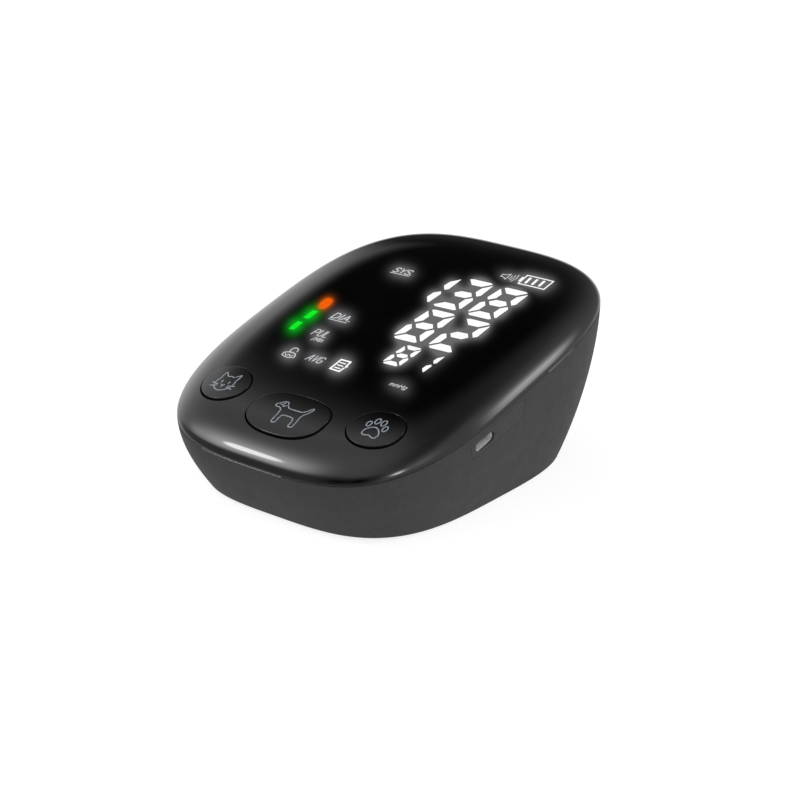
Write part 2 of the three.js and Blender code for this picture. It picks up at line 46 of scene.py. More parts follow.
# ------------------------------------------------------------------ the case's driving shape (mm)
FOOT = 0.8
HALF_W, HALF_D, TOP_N = 59.0, 70.891, 3.1987
BASE_W, BASE_D, BASE_N, BASE_Y = 48.650, 58.269, 3.424, -2.467
FLARE = 1.7136
PART_Z, SLOPE, SAG = 42.118, 0.2687, -1.2837
DOME_H, DOME_M, DOME_Q = 7.8755, 9.4427, 0.6694
WALL, COVER, PART_GAP = 2.4, 2.0, 0.3
TILT = math.atan(SLOPE)
NRM = np.array([0.0, -math.sin(TILT), math.cos(TILT)])
UPS = np.array([0.0, math.cos(TILT), math.sin(TILT)])
PANEL_Z = PART_Z + DOME_H
SIDE = dict(x=32.64, y=-48.0, a=9.80, b=7.87, n=2.0, rot=14.0)
MID = dict(x=0.0, y=-53.46, a=15.70, b=9.0, n=2.46, rot=0.0)
LEFT = dict(SIDE, x=-SIDE["x"], rot=-SIDE["rot"])
BTN_GAP = 0.5
BAY = dict(x=32.0, y0=-15.0, y1=50.0, z1=19.5, wall=1.6)
FLOOR_Z = 2.4
PORT_Y, PORT_Z = -23.24, 30.04
SOCK = dict(y=8.0, z=27.0, x=-57.7, bore=7.6, outer=11.4)
CELL_R, CELL_L, CELL_PITCH, CELL_Y0, CELL_Z = 7.25, 50.5, 15.2, -4.95, 11.6
BOSSES = [(41, -12), (-41, -12), (41, 28), (-41, 28)]
BOSS_JOINT = 28.0
FEET = [(-35, -45), (35, -45), (-37, 38), (37, 38)]


def se(a, b, n, phi):
    c, s = np.cos(phi), np.sin(phi)
    return a * np.sign(c) * np.abs(c) ** (2 / n), b * np.sign(s) * np.abs(s) ** (2 / n)


def even_phi(a, b, n, count):
    """Angles that space a superellipse's points evenly along its outline."""
    t = np.linspace(0, 2 * np.pi, 40001)
    x, y = se(a, b, n, t)
    s = np.r_[0, np.cumsum(np.hypot(np.diff(x), np.diff(y)))]
    return np.interp(np.arange(count) * s[-1] / count, s, t)


def part_z(y):
    return PART_Z + SLOPE * y + SAG * (y / HALF_W) ** 2


def rho_of(x, y):
    return (np.abs(x / HALF_W) ** TOP_N + np.abs(y / HALF_D) ** TOP_N) ** (1 / TOP_N)


def dome_z(x, y):
    r = np.minimum(rho_of(x, y), 1.0)
    return part_z(y) + DOME_H * np.maximum(0, 1 - r ** DOME_M) ** DOME_Q


def dome_n(x, y):
    e = 0.02
    gx = (dome_z(x + e, y) - dome_z(x - e, y)) / (2 * e)
    gy = (dome_z(x, y + e) - dome_z(x, y - e)) / (2 * e)
    n = np.stack([-gx, -gy, np.ones_like(gx)], -1)
    return n / np.linalg.norm(n, axis=-1, keepdims=True)


def flank(t, d, phi):
    g = 1 - (1 - np.minimum(1, t)) ** FLARE
    a, b = BASE_W + (HALF_W - BASE_W) * g - d, BASE_D + (HALF_D - BASE_D) * g - d
    n = BASE_N + (TOP_N - BASE_N) * g
    x, y = se(a, b, n, phi)
    return x, y + BASE_Y * (1 - g)


def flank_x(y, z):
    """Half width of the flank's skin at plan y and height z."""
    t = z / part_z(y)
    g = 1 - (1 - np.minimum(1, t)) ** FLARE
    a, b = BASE_W + (HALF_W - BASE_W) * g, BASE_D + (HALF_D - BASE_D) * g
    n = BASE_N + (TOP_N - BASE_N) * g
    return a * (1 - np.abs((y - BASE_Y * (1 - g)) / b) ** n) ** (1 / n)


# ------------------------------------------------------------------ mesh building
class Build:
    def __init__(self):
        self.v, self.f, self.n = [], [], 0

    def add(self, pts):
        pts = np.asarray(pts, float).reshape(-1, 3)
        self.v.append(pts)
        self.n += len(pts)
        return np.arange(self.n - len(pts), self.n)

    def bridge(self, a, b, flip=False, closed=True):
        m = len(a)
        for i in range(m if closed else m - 1):
            j = (i + 1) % m
            q = (a[i], a[j], b[j], b[i])
            self.f.append(tuple(int(k) for k in (q[::-1] if flip else q)))

    def cap(self, ring, centre, flip=False):
        c = self.add([centre])[0]
        m = len(ring)
        for i in range(m):
            q = (int(ring[i]), int(ring[(i + 1) % m]), int(c))
            self.f.append(q[::-1] if flip else q)

    def loft(self, rings, start=None, end=None, flip=False):
        ids = [self.add(r) for r in rings]
        for a, b in zip(ids, ids[1:]):
            self.bridge(a, b, flip)
        if start is not None:
            self.cap(ids[0], start, not flip)
        if end is not None:
            self.cap(ids[-1], end, flip)
        return ids

    def verts(self):
        return np.concatenate(self.v)


def to_object(name, verts_mm, faces, lift=FOOT, smooth=None, normals=None):
    me = bpy.data.meshes.new(name)
    v = np.array(verts_mm, float)
    v = v + np.array([0, 0, lift])
    me.from_pydata((v * 0.001).tolist(), [], faces)
    me.validate(clean_customdata=False)
    bm = bmesh.new()
    bm.from_mesh(me)
    if bm.calc_volume(signed=True) < 0:
        bmesh.ops.reverse_faces(bm, faces=bm.faces)
    bm.to_mesh(me)
    bm.free()
    o = bpy.data.objects.new(name, me)
    COLL.objects.link(o)
    if smooth is not None:
        shade(o, smooth)
    if normals is not None:
        me.polygons.foreach_set("use_smooth", [True] * len(me.polygons))
        cur = np.zeros(len(me.vertices) * 3)
        me.vertices.foreach_get("normal", cur)
        cur = cur.reshape(-1, 3)
        mask = ~np.isnan(normals[:, 0])
        sign = np.sign((cur[mask] * normals[mask]).sum(1))
        cur[mask] = normals[mask] * np.where(sign == 0, 1, sign)[:, None]
        me.normals_split_custom_set_from_vertices(cur.tolist())
    return o


def shade(o, angle=32):
    o.data.polygons.foreach_set("use_smooth", [True] * len(o.data.polygons))
    o.data.set_sharp_from_angle(angle=math.radians(angle))
    o.data.update()


def clean(o, dist=1e-7):
    bm = bmesh.new()
    bm.from_mesh(o.data)
    bmesh.ops.remove_doubles(bm, verts=bm.verts, dist=dist)
    bmesh.ops.dissolve_degenerate(bm, dist=dist, edges=bm.edges)
    bm.to_mesh(o.data)
    bm.free()


def boolean(o, cutter, op="DIFFERENCE"):
    m = o.modifiers.new("b", "BOOLEAN")
    m.operation = op
    m.object = cutter
    m.solver = "MANIFOLD"
    bpy.context.view_layer.update()
    dg = bpy.context.evaluated_depsgraph_get()
    new = bpy.data.meshes.new_from_object(o.evaluated_get(dg), preserve_all_data_layers=True, depsgraph=dg)
    o.modifiers.clear()
    old = o.data
    o.data = new
    bpy.data.meshes.remove(old)
    me = cutter.data
    bpy.data.objects.remove(cutter)
    bpy.data.meshes.remove(me)
    if not o.data.polygons:
        raise RuntimeError("empty boolean on " + o.name)
    return o


def cut(o, *tools):
    for t in tools:
        boolean(o, t, "DIFFERENCE")
    return o


def join(o, *tools):
    for t in tools:
        boolean(o, t, "UNION")
    return o


def box(x0, y0, z0, x1, y1, z1, M=None):
    v = np.array([[x, y, z] for x in (x0, x1) for y in (y0, y1) for z in (z0, z1)], float)
    f = [(0, 1, 3, 2), (4, 6, 7, 5), (0, 4, 5, 1), (2, 3, 7, 6), (0, 2, 6, 4), (1, 5, 7, 3)]
    if M is not None:
        v = v @ np.array(M)[:3, :3].T + np.array(M)[:3, 3]
    return to_object("t", v, f)


def turned(profile, seg=48, M=None, name="t", smooth=None, lift=FOOT):
    """Closed solid of revolution. profile: [radius, z] from axis to axis, or a closed loop off the axis."""
    b = Build()
    phi = np.arange(seg) * 2 * np.pi / seg
    ax0, ax1 = profile[0][0] < 1e-9, profile[-1][0] < 1e-9
    body = [p for p in profile if p[0] > 1e-9]
    ids = [b.add(np.c_[p[0] * np.cos(phi), p[0] * np.sin(phi), np.full(seg, p[1])]) for p in body]
    for a, c in zip(ids, ids[1:]):
        b.bridge(a, c)
    if ax0:
        b.cap(ids[0], [0, 0, profile[0][1]], True)
    if ax1:
        b.cap(ids[-1], [0, 0, profile[-1][1]])
    if not ax0:
        b.bridge(ids[-1], ids[0])
    v = b.verts()
    if M is not None:
        v = v @ np.array(M)[:3, :3].T + np.array(M)[:3, 3]
    return to_object(name, v, b.f, lift=lift, smooth=smooth)


def T(x, y, z):
    return Matrix.Translation((x, y, z))


def axis_x(x, y, z, sign=1):
    """+Z of the local solid goes to +X or -X."""
    return T(x, y, z) @ Matrix.Rotation(math.radians(90 * sign), 4, "Y")


def axis_y(x, y, z, sign=1):
    return T(x, y, z) @ Matrix.Rotation(math.radians(-90 * sign), 4, "X")


PANEL = Matrix.Translation((0, 0, PANEL_Z)) @ Matrix.Rotation(TILT, 4, "X")
PORTM = Matrix.Translation((0, PORT_Y, PORT_Z)) @ Matrix.Rotation(TILT, 4, "X")


def inside(poly, p):
    """Point in polygon, arrays."""
    poly, p = np.asarray(poly), np.asarray(p)
    x, y = p[:, 0][:, None], p[:, 1][:, None]
    x0, y0 = poly[:, 0][None], poly[:, 1][None]
    x1, y1 = np.roll(poly[:, 0], -1)[None], np.roll(poly[:, 1], -1)[None]
    out = np.zeros(len(p), bool)
    step = max(1, 4_000_000 // len(poly))
    for i in range(0, len(p), step):
        xs, ys = x[i:i + step], y[i:i + step]
        c = ((y0 > ys) != (y1 > ys)) & (xs < (x1 - x0) * (ys - y0) / (y1 - y0 + 1e-300) + x0)
        out[i:i + step] = c.sum(1) % 2 == 1
    return out


def triangulate(outer, holes=(), inner=None):
    """Constrained triangulation. Returns points (outer, holes..., inner) and triangles in their order."""
    loops = [np.asarray(outer, float)] + [np.asarray(h, float) for h in holes]
    pts, edges, n = [], [], 0
    for lp in loops:
        m = len(lp)
        pts.append(lp)
        edges += [(n + i, n + (i + 1) % m) for i in range(m)]
        n += m
    if inner is not None and len(inner):
        pts.append(np.asarray(inner, float))
    P = np.concatenate(pts)
    V, _, F, ov, _, _ = delaunay_2d_cdt([Vector(p) for p in P.tolist()], edges, [], 0, 1e-9)
    idx = [o[0] if len(o) else -1 for o in ov]
    F = np.array([f for f in F if len(f) == 3], int)
    C = np.array([[v[0], v[1]] for v in V])[F].mean(1)
    keep = inside(loops[0], C)
    for h in loops[1:]:
        keep &= ~inside(h, C)
    F = np.array(idx)[F[keep]]
    F = F[(F >= 0).all(1)]
    return P, F


def grid_in(outer, holes, step, margin):
    """A staggered grid of points inside outer and outside the holes, clear of both by margin."""
    outer = np.asarray(outer)
    x0, y0, x1, y1 = *outer.min(0), *outer.max(0)
    rows = []
    for k, y in enumerate(np.arange(y0, y1 + step, step * 0.866)):
        xs = np.arange(x0 + (k % 2) * step / 2, x1 + step, step)
        rows.append(np.c_[xs, np.full(len(xs), y)])
    p = np.concatenate(rows)
    p = p[inside(outer, p)]
    for lp in [outer, *holes]:
        lp = np.asarray(lp)
        nxt = np.roll(lp, -1, 0)
        k = max(1, int(np.ceil(np.hypot(*(nxt - lp).T).max() / (margin * 0.5))))
        dense = np.concatenate([lp + (nxt - lp) * i / k for i in range(k)])
        keep = np.ones(len(p), bool)
        for i in range(0, len(p), 3000):
            q = p[i:i + 3000]
            keep[i:i + 3000] = (((q[:, None] - dense[None]) ** 2).sum(-1).min(1) > margin ** 2)
        p = p[keep]
    for h in holes:
        p = p[~inside(h, p)]
    return p


def plate(name, outer, holes, top, bottom, step=None, margin=None, smooth=32, lift=FOOT):
    """Closed sheet: a plan outline with holes, its two faces placed by the functions top and bottom."""
    inner = grid_in(outer, holes, step, margin or step * 0.6) if step else None
    P, F = triangulate(outer, holes, inner)
    A, Bt = top(P), bottom(P)
    n = len(P)
    faces = [tuple(int(k) for k in f) for f in F] + [tuple(int(k) + n for k in f[::-1]) for f in F]
    # the border edges of the triangulation, walled down
    count = {}
    for f in F:
        for a, b in ((f[0], f[1]), (f[1], f[2]), (f[2], f[0])):
            count[(int(a), int(b))] = 1
    for a, b in list(count):
        if (b, a) not in count:
            faces.append((b, a, a + n, b + n))
    return to_object(name, np.r_[A, Bt], faces, lift=lift, smooth=smooth)


def smooth_line(pts, closed=False, per=6):
    """Catmull-Rom through the points."""
    p = np.asarray(pts, float)
    if len(p) < 3 and not closed:
        return p
    m = len(p)
    get = (lambda i: p[i % m]) if closed else (lambda i: p[min(max(i, 0), m - 1)])
    out = []
    for i in range(m if closed else m - 1):
        a, b, c, d = get(i - 1), get(i), get(i + 1), get(i + 2)
        for k in range(per):
            t = k / per
            out.append(0.5 * ((2 * b) + (c - a) * t + (2 * a - 5 * b + 4 * c - d) * t * t + (3 * b - a - 3 * c + d) * t ** 3))
    if not closed:
        out.append(p[-1])
    return np.array(out)


def stroke_outline(pts, w, caps=5):
    """Outline of a line of width w with round ends (an open polyline)."""
    p = np.asarray(pts, float)
    d = np.diff(p, axis=0)
    keep = np.r_[True, np.hypot(*d.T) > 1e-6]
    p = p[keep]
    d = np.diff(p, axis=0)
    d /= np.hypot(*d.T)[:, None]
    t = np.r_[d[:1], (d[:-1] + d[1:]) / 2, d[-1:]]
    ln = np.hypot(*t.T)[:, None]
    t = t / np.maximum(ln, 0.5)
    t = t / np.maximum(np.hypot(*t.T)[:, None], 1e-6)
    nrm = np.c_[-t[:, 1], t[:, 0]]
    h = w / 2
    a0 = math.atan2(*(-d[-1])[::-1])
    left, right = p + nrm * h, p - nrm * h
    end = [p[-1] + h * np.array([math.cos(a), math.sin(a)]) for a in
           np.linspace(math.atan2(nrm[-1][1], nrm[-1][0]), math.atan2(nrm[-1][1], nrm[-1][0]) - np.pi, caps + 2)[1:-1]]
    start = [p[0] + h * np.array([math.cos(a), math.sin(a)]) for a in
             np.linspace(math.atan2(-nrm[0][1], -nrm[0][0]), math.atan2(-nrm[0][1], -nrm[0][0]) - np.pi, caps + 2)[1:-1]]
    return np.array(list(left) + end + list(right[::-1]) + start)


# ------------------------------------------------------------------ materials
class Graph:
    """Short forms for building a node tree."""

    def __init__(self, tree):
        self.t = tree
        tree.nodes.clear()

    def node(self, kind, **kw):
        n = self.t.nodes.new(kind)
        for k, v in kw.items():
            setattr(n, k, v)
        return n

    def put(self, sock, v):
        if isinstance(v, bpy.types.NodeSocket):
            self.t.links.new(v, sock)
        else:
            sock.default_value = v

    def math(self, op, *args):
        n = self.node("ShaderNodeMath", operation=op)
        for s, v in zip(n.inputs, args):
            self.put(s, v)
        return n.outputs[0]

    def ramp(self, v, a, b, lo=0.0, hi=1.0):
        n = self.node("ShaderNodeMapRange", interpolation_type="SMOOTHSTEP")
        self.put(n.inputs["Value"], v)
        for k, x in (("From Min", a), ("From Max", b), ("To Min", lo), ("To Max", hi)):
            n.inputs[k].default_value = x
        return n.outputs[0]

    def noise(self, scale, detail=3.0, rough=0.5, vec=None):
        n = self.node("ShaderNodeTexNoise")
        n.inputs["Scale"].default_value = scale
        n.inputs["Detail"].default_value = detail
        n.inputs["Roughness"].default_value = rough
        if vec is not None:
            self.t.links.new(vec, n.inputs["Vector"])
        return n.outputs["Fac"]

    def mix(self, fac, a, b):
        n = self.node("ShaderNodeMix", data_type="RGBA")
        self.put(n.inputs[0], fac)
        self.put(n.inputs[6], a)
        self.put(n.inputs[7], b)
        return n.outputs[2]


def rgb(c):
    return (*c, 1.0) if len(c) == 3 else tuple(c)


def surface(name, a, b, rough, metal=0.0, scale=300.0, bump=0.0, bump_scale=2500.0, specular=0.5,
            coat=0.0, coat_rough=0.1, painted_glow=None, emit=None, strength=1.0, aniso=0.0):
    """Principled surface whose tone runs between two colours and whose gloss varies slightly."""
    m = bpy.data.materials.new(name)
    m.use_nodes = True
    g = Graph(m.node_tree)
    out = g.node("ShaderNodeOutputMaterial")
    p = g.node("ShaderNodeBsdfPrincipled")
    g.t.links.new(p.outputs[0], out.inputs[0])
    vec = g.node("ShaderNodeTexCoord").outputs["Object"]
    n1 = g.noise(scale, 3.0, 0.55, vec)
    g.put(p.inputs["Base Color"], g.mix(g.ramp(n1, 0.3, 0.7), rgb(a), rgb(b)))
    n2 = g.noise(scale * 0.37, 2.0, 0.5, vec)
    g.put(p.inputs["Roughness"], g.ramp(n2, 0.25, 0.75, rough[0], rough[1]))
    p.inputs["Metallic"].default_value = metal
    p.inputs["Specular IOR Level"].default_value = specular
    if coat:
        p.inputs["Coat Weight"].default_value = coat
        p.inputs["Coat Roughness"].default_value = coat_rough
    if bump:
        bn = g.node("ShaderNodeBump")
        bn.inputs["Strength"].default_value = bump
        bn.inputs["Distance"].default_value = 0.0001
        g.put(bn.inputs["Height"], g.noise(bump_scale, 2.0, 0.6, vec))
        g.t.links.new(bn.outputs[0], p.inputs["Normal"])
    if painted_glow:
        at = g.node("ShaderNodeAttribute", attribute_name=painted_glow)
        g.t.links.new(at.outputs["Color"], p.inputs["Emission Color"])
        p.inputs["Emission Strength"].default_value = 1.0
    if emit:
        g.put(p.inputs["Emission Color"], g.mix(g.ramp(n1, 0.3, 0.7), rgb(emit[0]), rgb(emit[1])))
        p.inputs["Emission Strength"].default_value = strength
    return m


def grey(v, d=0.12):
    return (v * (1 - d),) * 3, (v * (1 + d),) * 3


MAT = {
    # the cover's emission is a painted glow round the lit marks
    "cover": surface("cover_gloss", (0.0003, 0.0003, 0.0004), (0.0007, 0.0007, 0.0008), (0.045, 0.06), scale=120, painted_glow="painted_glow"),
    "button": surface("button_gloss", (0.0004, 0.0004, 0.0005), (0.0009, 0.0009, 0.0010), (0.06, 0.08), scale=160),
    "case": surface("case_matte", *grey(0.0412, 0.05), (0.60, 0.68), scale=500, bump=0.06, bump_scale=6000, specular=0.08),
    "plate": surface("plate_matte", *grey(0.0422, 0.05), (0.55, 0.63), scale=500, bump=0.04, bump_scale=5000, specular=0.08),
    "steel": surface("steel", (0.52, 0.52, 0.53), (0.66, 0.66, 0.67), (0.22, 0.34), 1.0, scale=800),
    "black": surface("black_plastic", *grey(0.02, 0.2), (0.40, 0.52), scale=500, bump=0.05),
    "led": surface("led_module", *grey(0.03, 0.25), (0.35, 0.5), scale=400),
    "board": surface("board_green", (0.010, 0.070, 0.028), (0.016, 0.105, 0.040), (0.32, 0.44), scale=260, bump=0.1, bump_scale=1800),
    "flex": surface("flex_film", (0.36, 0.16, 0.035), (0.50, 0.24, 0.05), (0.30, 0.42), scale=600),
    "motor": surface("motor_can", (0.44, 0.44, 0.45), (0.58, 0.58, 0.59), (0.25, 0.38), 1.0, scale=500),
    "shaft": surface("shaft_steel", (0.56, 0.56, 0.57), (0.70, 0.70, 0.71), (0.15, 0.25), 1.0, scale=900),
    "rubber": surface("diaphragm_rubber", *grey(0.03, 0.2), (0.72, 0.85), scale=400, bump=0.1),
    "tube": surface("tubing", (0.60, 0.63, 0.65), (0.72, 0.75, 0.77), (0.28, 0.38), scale=350),
    "white": surface("white_plastic", (0.62, 0.62, 0.58), (0.72, 0.72, 0.68), (0.40, 0.50), scale=400),
    "jacket": surface("cell_jacket", (0.022, 0.090, 0.22), (0.034, 0.125, 0.30), (0.26, 0.36), scale=260, coat=0.3),
    "cell_end": surface("cell_end", (0.55, 0.55, 0.56), (0.68, 0.68, 0.69), (0.22, 0.32), 1.0, scale=700),
    "spring": surface("spring_steel", (0.60, 0.60, 0.61), (0.72, 0.72, 0.73), (0.20, 0.30), 1.0, scale=1200),
    "foot": surface("foot_rubber", *grey(0.018, 0.25), (0.78, 0.9), scale=500, bump=0.15, bump_scale=4000),
    "screw": surface("screw_steel", (0.34, 0.34, 0.35), (0.46, 0.46, 0.47), (0.30, 0.42), 1.0, scale=900),
    "print": surface("key_print", (0.21, 0.235, 0.27), (0.26, 0.29, 0.33), (0.35, 0.45), scale=900, specular=0.2),
    "shell": surface("shell", (0.54, 0.54, 0.55), (0.66, 0.66, 0.67), (0.32, 0.42), 0.5, scale=800),
    "tongue": surface("tongue", *grey(0.16, 0.10), (0.40, 0.52), scale=500),
    # dull black for the keys' side walls, a painted shade for the groove round each key
    "key_wall_shade": surface("key_wall_shade", *grey(0.0012, 0.10), (0.55, 0.65), scale=900, specular=0.1),
    # darker, glossier strip of the case's upper edge, placed to show a highlight line: painted highlight
    "case_edge_highlight": surface("case_edge_highlight", *grey(0.0185, 0.05), (0.14, 0.18), scale=500),
    "lit_white": surface("lit_white", (0.008, 0.008, 0.008), (0.012, 0.012, 0.012), (0.06, 0.08), scale=500, specular=0.2,
                         emit=((0.97, 0.97, 1.0), (1.0, 1.0, 1.0)), strength=1.05),
    "lit_label": surface("lit_label", (0.008, 0.008, 0.008), (0.012, 0.012, 0.012), (0.06, 0.08), scale=500, specular=0.2,
                         emit=((0.58, 0.59, 0.61), (0.68, 0.69, 0.71)), strength=1.0),
    "lit_green": surface("lit_green", (0.002, 0.012, 0.002), (0.003, 0.016, 0.003), (0.06, 0.08), scale=500, specular=0.1,
                         emit=((0.003, 0.80, 0.018), (0.005, 0.86, 0.024)), strength=1.0),
    "lit_orange": surface("lit_orange", (0.012, 0.004, 0.001), (0.016, 0.005, 0.001), (0.06, 0.08), scale=500, specular=0.1,
                          emit=((0.86, 0.100, 0.001), (0.93, 0.118, 0.0015)), strength=1.0),
}


def dress(o, mat):
    o.data.materials.clear()
    o.data.materials.append(MAT[mat])


def piece(o, body, slot, mat, *nodes):
    dress(o, mat)
    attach(o, body)
    for n in nodes:
        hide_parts(n)
    return o


# ------------------------------------------------------------------ lit marks, in plan millimetres
SEG = {
    "a": [(.035, 1.01), (.13, 1.04), (.85, 1.05), (.95, 1.02), (.70, .865), (.32, .855)],
    "b": [(1.03, .975), (.80, .82), (.785, .655), (.985, .53), (1.085, .59)],
    "c": [(.955, .455), (.785, .353), (.78, .184), (1.02, .034), (1.07, .055), (1.06, .385)],
    "d": [(.045, -.025), (.298, .125), (.68, .132), (.96, -.015), (.90, -.05), (.155, -.066)],
    "e": [(.04, .447), (-.068, .382), (-.047, .037), (-.003, .03), (.21, .16), (.218, .333)],
    "f": [(-.045, .955), (-.072, .595), (.04, .53), (.217, .634), (.22, .794)],
    "g": [(.16, .48), (.31, .577), (.686, .597), (.854, .493), (.707, .399), (.323, .384)],
}
DIGIT = {"1": "bc", "2": "abged", "3": "abgcd", "8": "abcdefg"}


def digit(ch, x, y, w, h, lean):
    return [[(x + u * w + v * lean, y + v * h) for u, v in SEG[s]] for s in DIGIT[ch]]


BIG = (10.4886, 17.937, 1.9325)
COL = lambda k: 4.6403 + k * 14.9643
DIGITS = []
for ch, x, y in (("1", -8.72, 16.95), ("3", COL(0), 17.680), ("8", COL(1), 17.680), ("8", COL(0), -4.061), ("2", COL(1), -4.061)):
    DIGITS += digit(ch, x, y, *BIG)
DIGITS += digit("8", 11.19, -18.0, 6.5, 10.65, 1.5) + digit("1", 21.0, -18.0, 6.5, 10.65, 1.5)
GREEN = [[(-33.4, -7.63), (-30.93, -7.54), (-30.74, -2.5), (-33.15, -2.56)],
         [(-33.54, -15.11), (-31.34, -15.03), (-31.22, -10.14), (-33.67, -10.09)]]
ORANGE = [[(-32.88, .09), (-30.49, .01), (-30.52, 5.21), (-33.19, 5.34)]]

GLYPH = {
    "S": (.64, [[(.62, .84), (.48, 1), (.16, 1), (.02, .84), (.04, .64), (.2, .54), (.46, .46), (.62, .34), (.62, .14), (.46, 0), (.14, 0), (0, .16)]]),
    "Y": (.64, [[(0, 1), (.32, .46)], [(.64, 1), (.32, .46), (.32, 0)]]),
    "D": (.64, [[(.3, 0), (0, 0), (0, 1), (.34, 1), (.56, .82), (.64, .5), (.56, .18), (.3, 0)]]),
    "I": (.06, [[(.03, 0), (.03, 1)]]),
    "A": (.68, [[(0, 0), (.34, 1), (.68, 0)], [(.14, .34), (.54, .34)]]),
    "P": (.6, [[(0, 0), (0, 1), (.4, 1), (.58, .88), (.58, .6), (.4, .47), (.04, .47)]]),
    "U": (.62, [[(0, 1), (0, .2), (.16, 0), (.46, 0), (.62, .2), (.62, 1)]]),
    "L": (.5, [[(0, 1), (0, 0), (.5, 0)]]),
    "V": (.64, [[(0, 1), (.32, 0), (.64, 1)]]),
    "G": (.68, [[(.66, .80), (.50, 1), (.18, 1), (.02, .8), (0, .5), (.02, .2), (.18, 0), (.50, 0), (.66, .16)], [(.66, .10), (.66, .44)], [(.68, .44), (.38, .44)]]),
    "M": (.74, [[(0, 0), (.04, 1), (.37, .3), (.70, 1), (.74, 0)]]),
    "i": (.06, [[(.03, 0), (.03, .66)], [(.03, .86), (.03, .98)]]),
    "n": (.46, [[(0, 0), (0, .68)], [(0, .48), (.16, .66), (.34, .66), (.46, .48), (.46, 0)]]),
    "m": (.74, [[(0, 0), (0, .68)], [(0, .5), (.12, .66), (.26, .66), (.37, .5), (.37, 0)], [(.37, .5), (.49, .66), (.62, .66), (.74, .5), (.74, 0)]]),
    "H": (.6, [[(0, 0), (0, 1)], [(.6, 0), (.6, 1)], [(0, .52), (.6, .52)]]),
    "g": (.5, [[(.48, .66), (.48, -.12), (.34, -.28), (.08, -.28)], [(.48, .48), (.34, .66), (.14, .66), (0, .48), (0, .18), (.14, 0), (.34, 0), (.48, .18)]]),
    "/": (.36, [[(0, -.08), (.36, 1.04)]]),
    ".": (.08, [[(.04, 0), (.04, .08)]]),
}


def label(text, start, end, h, lean=0.22, gap=0.22):
    """Slanted stroke lettering fitted between two points of its base line."""
    adv = [GLYPH[c][0] for c in text]
    total = sum(adv) + gap * (len(text) - 1)
    s, e = np.array(start, float), np.array(end, float)
    d = (e - s) / np.hypot(*(e - s))
    up = np.array([-d[1], d[0]])
    k = np.hypot(*(e - s)) / total
    out, x = [], 0.0
    for c, a in zip(text, adv):
        for line in GLYPH[c][1]:
            out.append([tuple(s + d * ((x + u) * k + lean * v * h) + up * v * h) for u, v in line])
        x += a + gap
    return out


LABELS = [(label("SYS.", (-23.2, 29.35), (-15.2, 29.6), 2.9), .40),
          ([[(-23.4, 28.6), (-15.3, 28.9)]], .30),
          (label("DIA.", (-24.0, -3.75), (-15.9, -3.6), 3.1), .40),
          ([[(-24.1, -4.65), (-16.4, -4.5)]], .30),
          (label("PUL", (-23.7, -14.7), (-17.4, -14.5), 3.3), .32),
          (label("/Min", (-21.3, -17.5), (-16.9, -17.3), 1.9), .22),
          (label("AVG", (-15.3, -27.35), (-9.0, -27.5), 3.3), .31),
          (label("mmHg", (21.7, -27.9), (28.4, -27.9), 1.7), .20)]
# loudspeaker sign
LABELS += [([[(15.6, 41.9), (16.9, 41.9), (18.3, 40.8), (18.3, 44.6), (16.9, 43.5), (15.6, 43.5), (15.6, 41.9)]], .3),
           ([[(19.2, 41.6), (19.6, 42.7), (19.3, 43.8)]], .26), ([[(20.1, 41.0), (20.7, 42.8), (20.2, 44.5)]], .26),
           ([[(21.0, 40.4), (21.8, 42.8), (21.2, 45.2)]], .26)]
# person sign
LABELS += [([[(-20.95, -25.1), (-21.2, -23.9), (-22.2, -23.35), (-23.35, -23.6), (-23.75, -24.6), (-23.6, -25.6), (-22.9, -26.1)]], .36),
           ([[(-25.0, -28.3), (-25.1, -27.0), (-23.9, -26.2), (-22.3, -26.0), (-20.8, -26.2), (-19.9, -27.2), (-19.7, -28.4)]], .40),
           ([[(-24.6, -28.5), (-23.2, -28.9), (-21.6, -28.9), (-20.2, -28.4)]], .34),
           ([[(-24.2, -27.4), (-23.3, -28.2), (-22.4, -27.2), (-21.5, -28.2), (-20.7, -27.3)]], .30)]
# battery sign
BATT = [(24.35, 40.30), (34.9, 40.75), (34.65, 46.95), (24.05, 46.35)]
WHITE_LINES = [([BATT + BATT[:1]], .48), ([[(23.6, 42.0), (23.45, 44.4)]], .7),
               ([[(26.5, 41.8), (26.2, 45.0)]], .95), ([[(29.3, 41.9), (29.0, 45.1)]], .95), ([[(32.1, 42.1), (31.8, 45.3)]], .95)]
# memory page sign: a framed sheet with three rules and a nick in its right side
PAGE_FRAME = [[(1.10, -25.3), (.95, -22.62), (-3.15, -22.7), (-3.38, -28.3), (.75, -28.42), (.98, -26.4)]]
WHITE_LINES += [(PAGE_FRAME, .62), ([[(1.0, -26.5), (1.75, -25.2), (1.1, -25.2)]], .34)]
WHITE_LINES += [([[(-2.35, y), (-.1, y - .05)]], .46) for y in (-27.05, -25.6, -24.15)]

# plain pictograms on the keys, about each key's centre: a cat's face seen from
# the front, a dog standing side on and a paw print
def oval(x, y, a, b, count=12):
    t = np.linspace(0, 2 * math.pi, count + 1)
    return [(x + a * math.cos(i), y + b * math.sin(i)) for i in t]


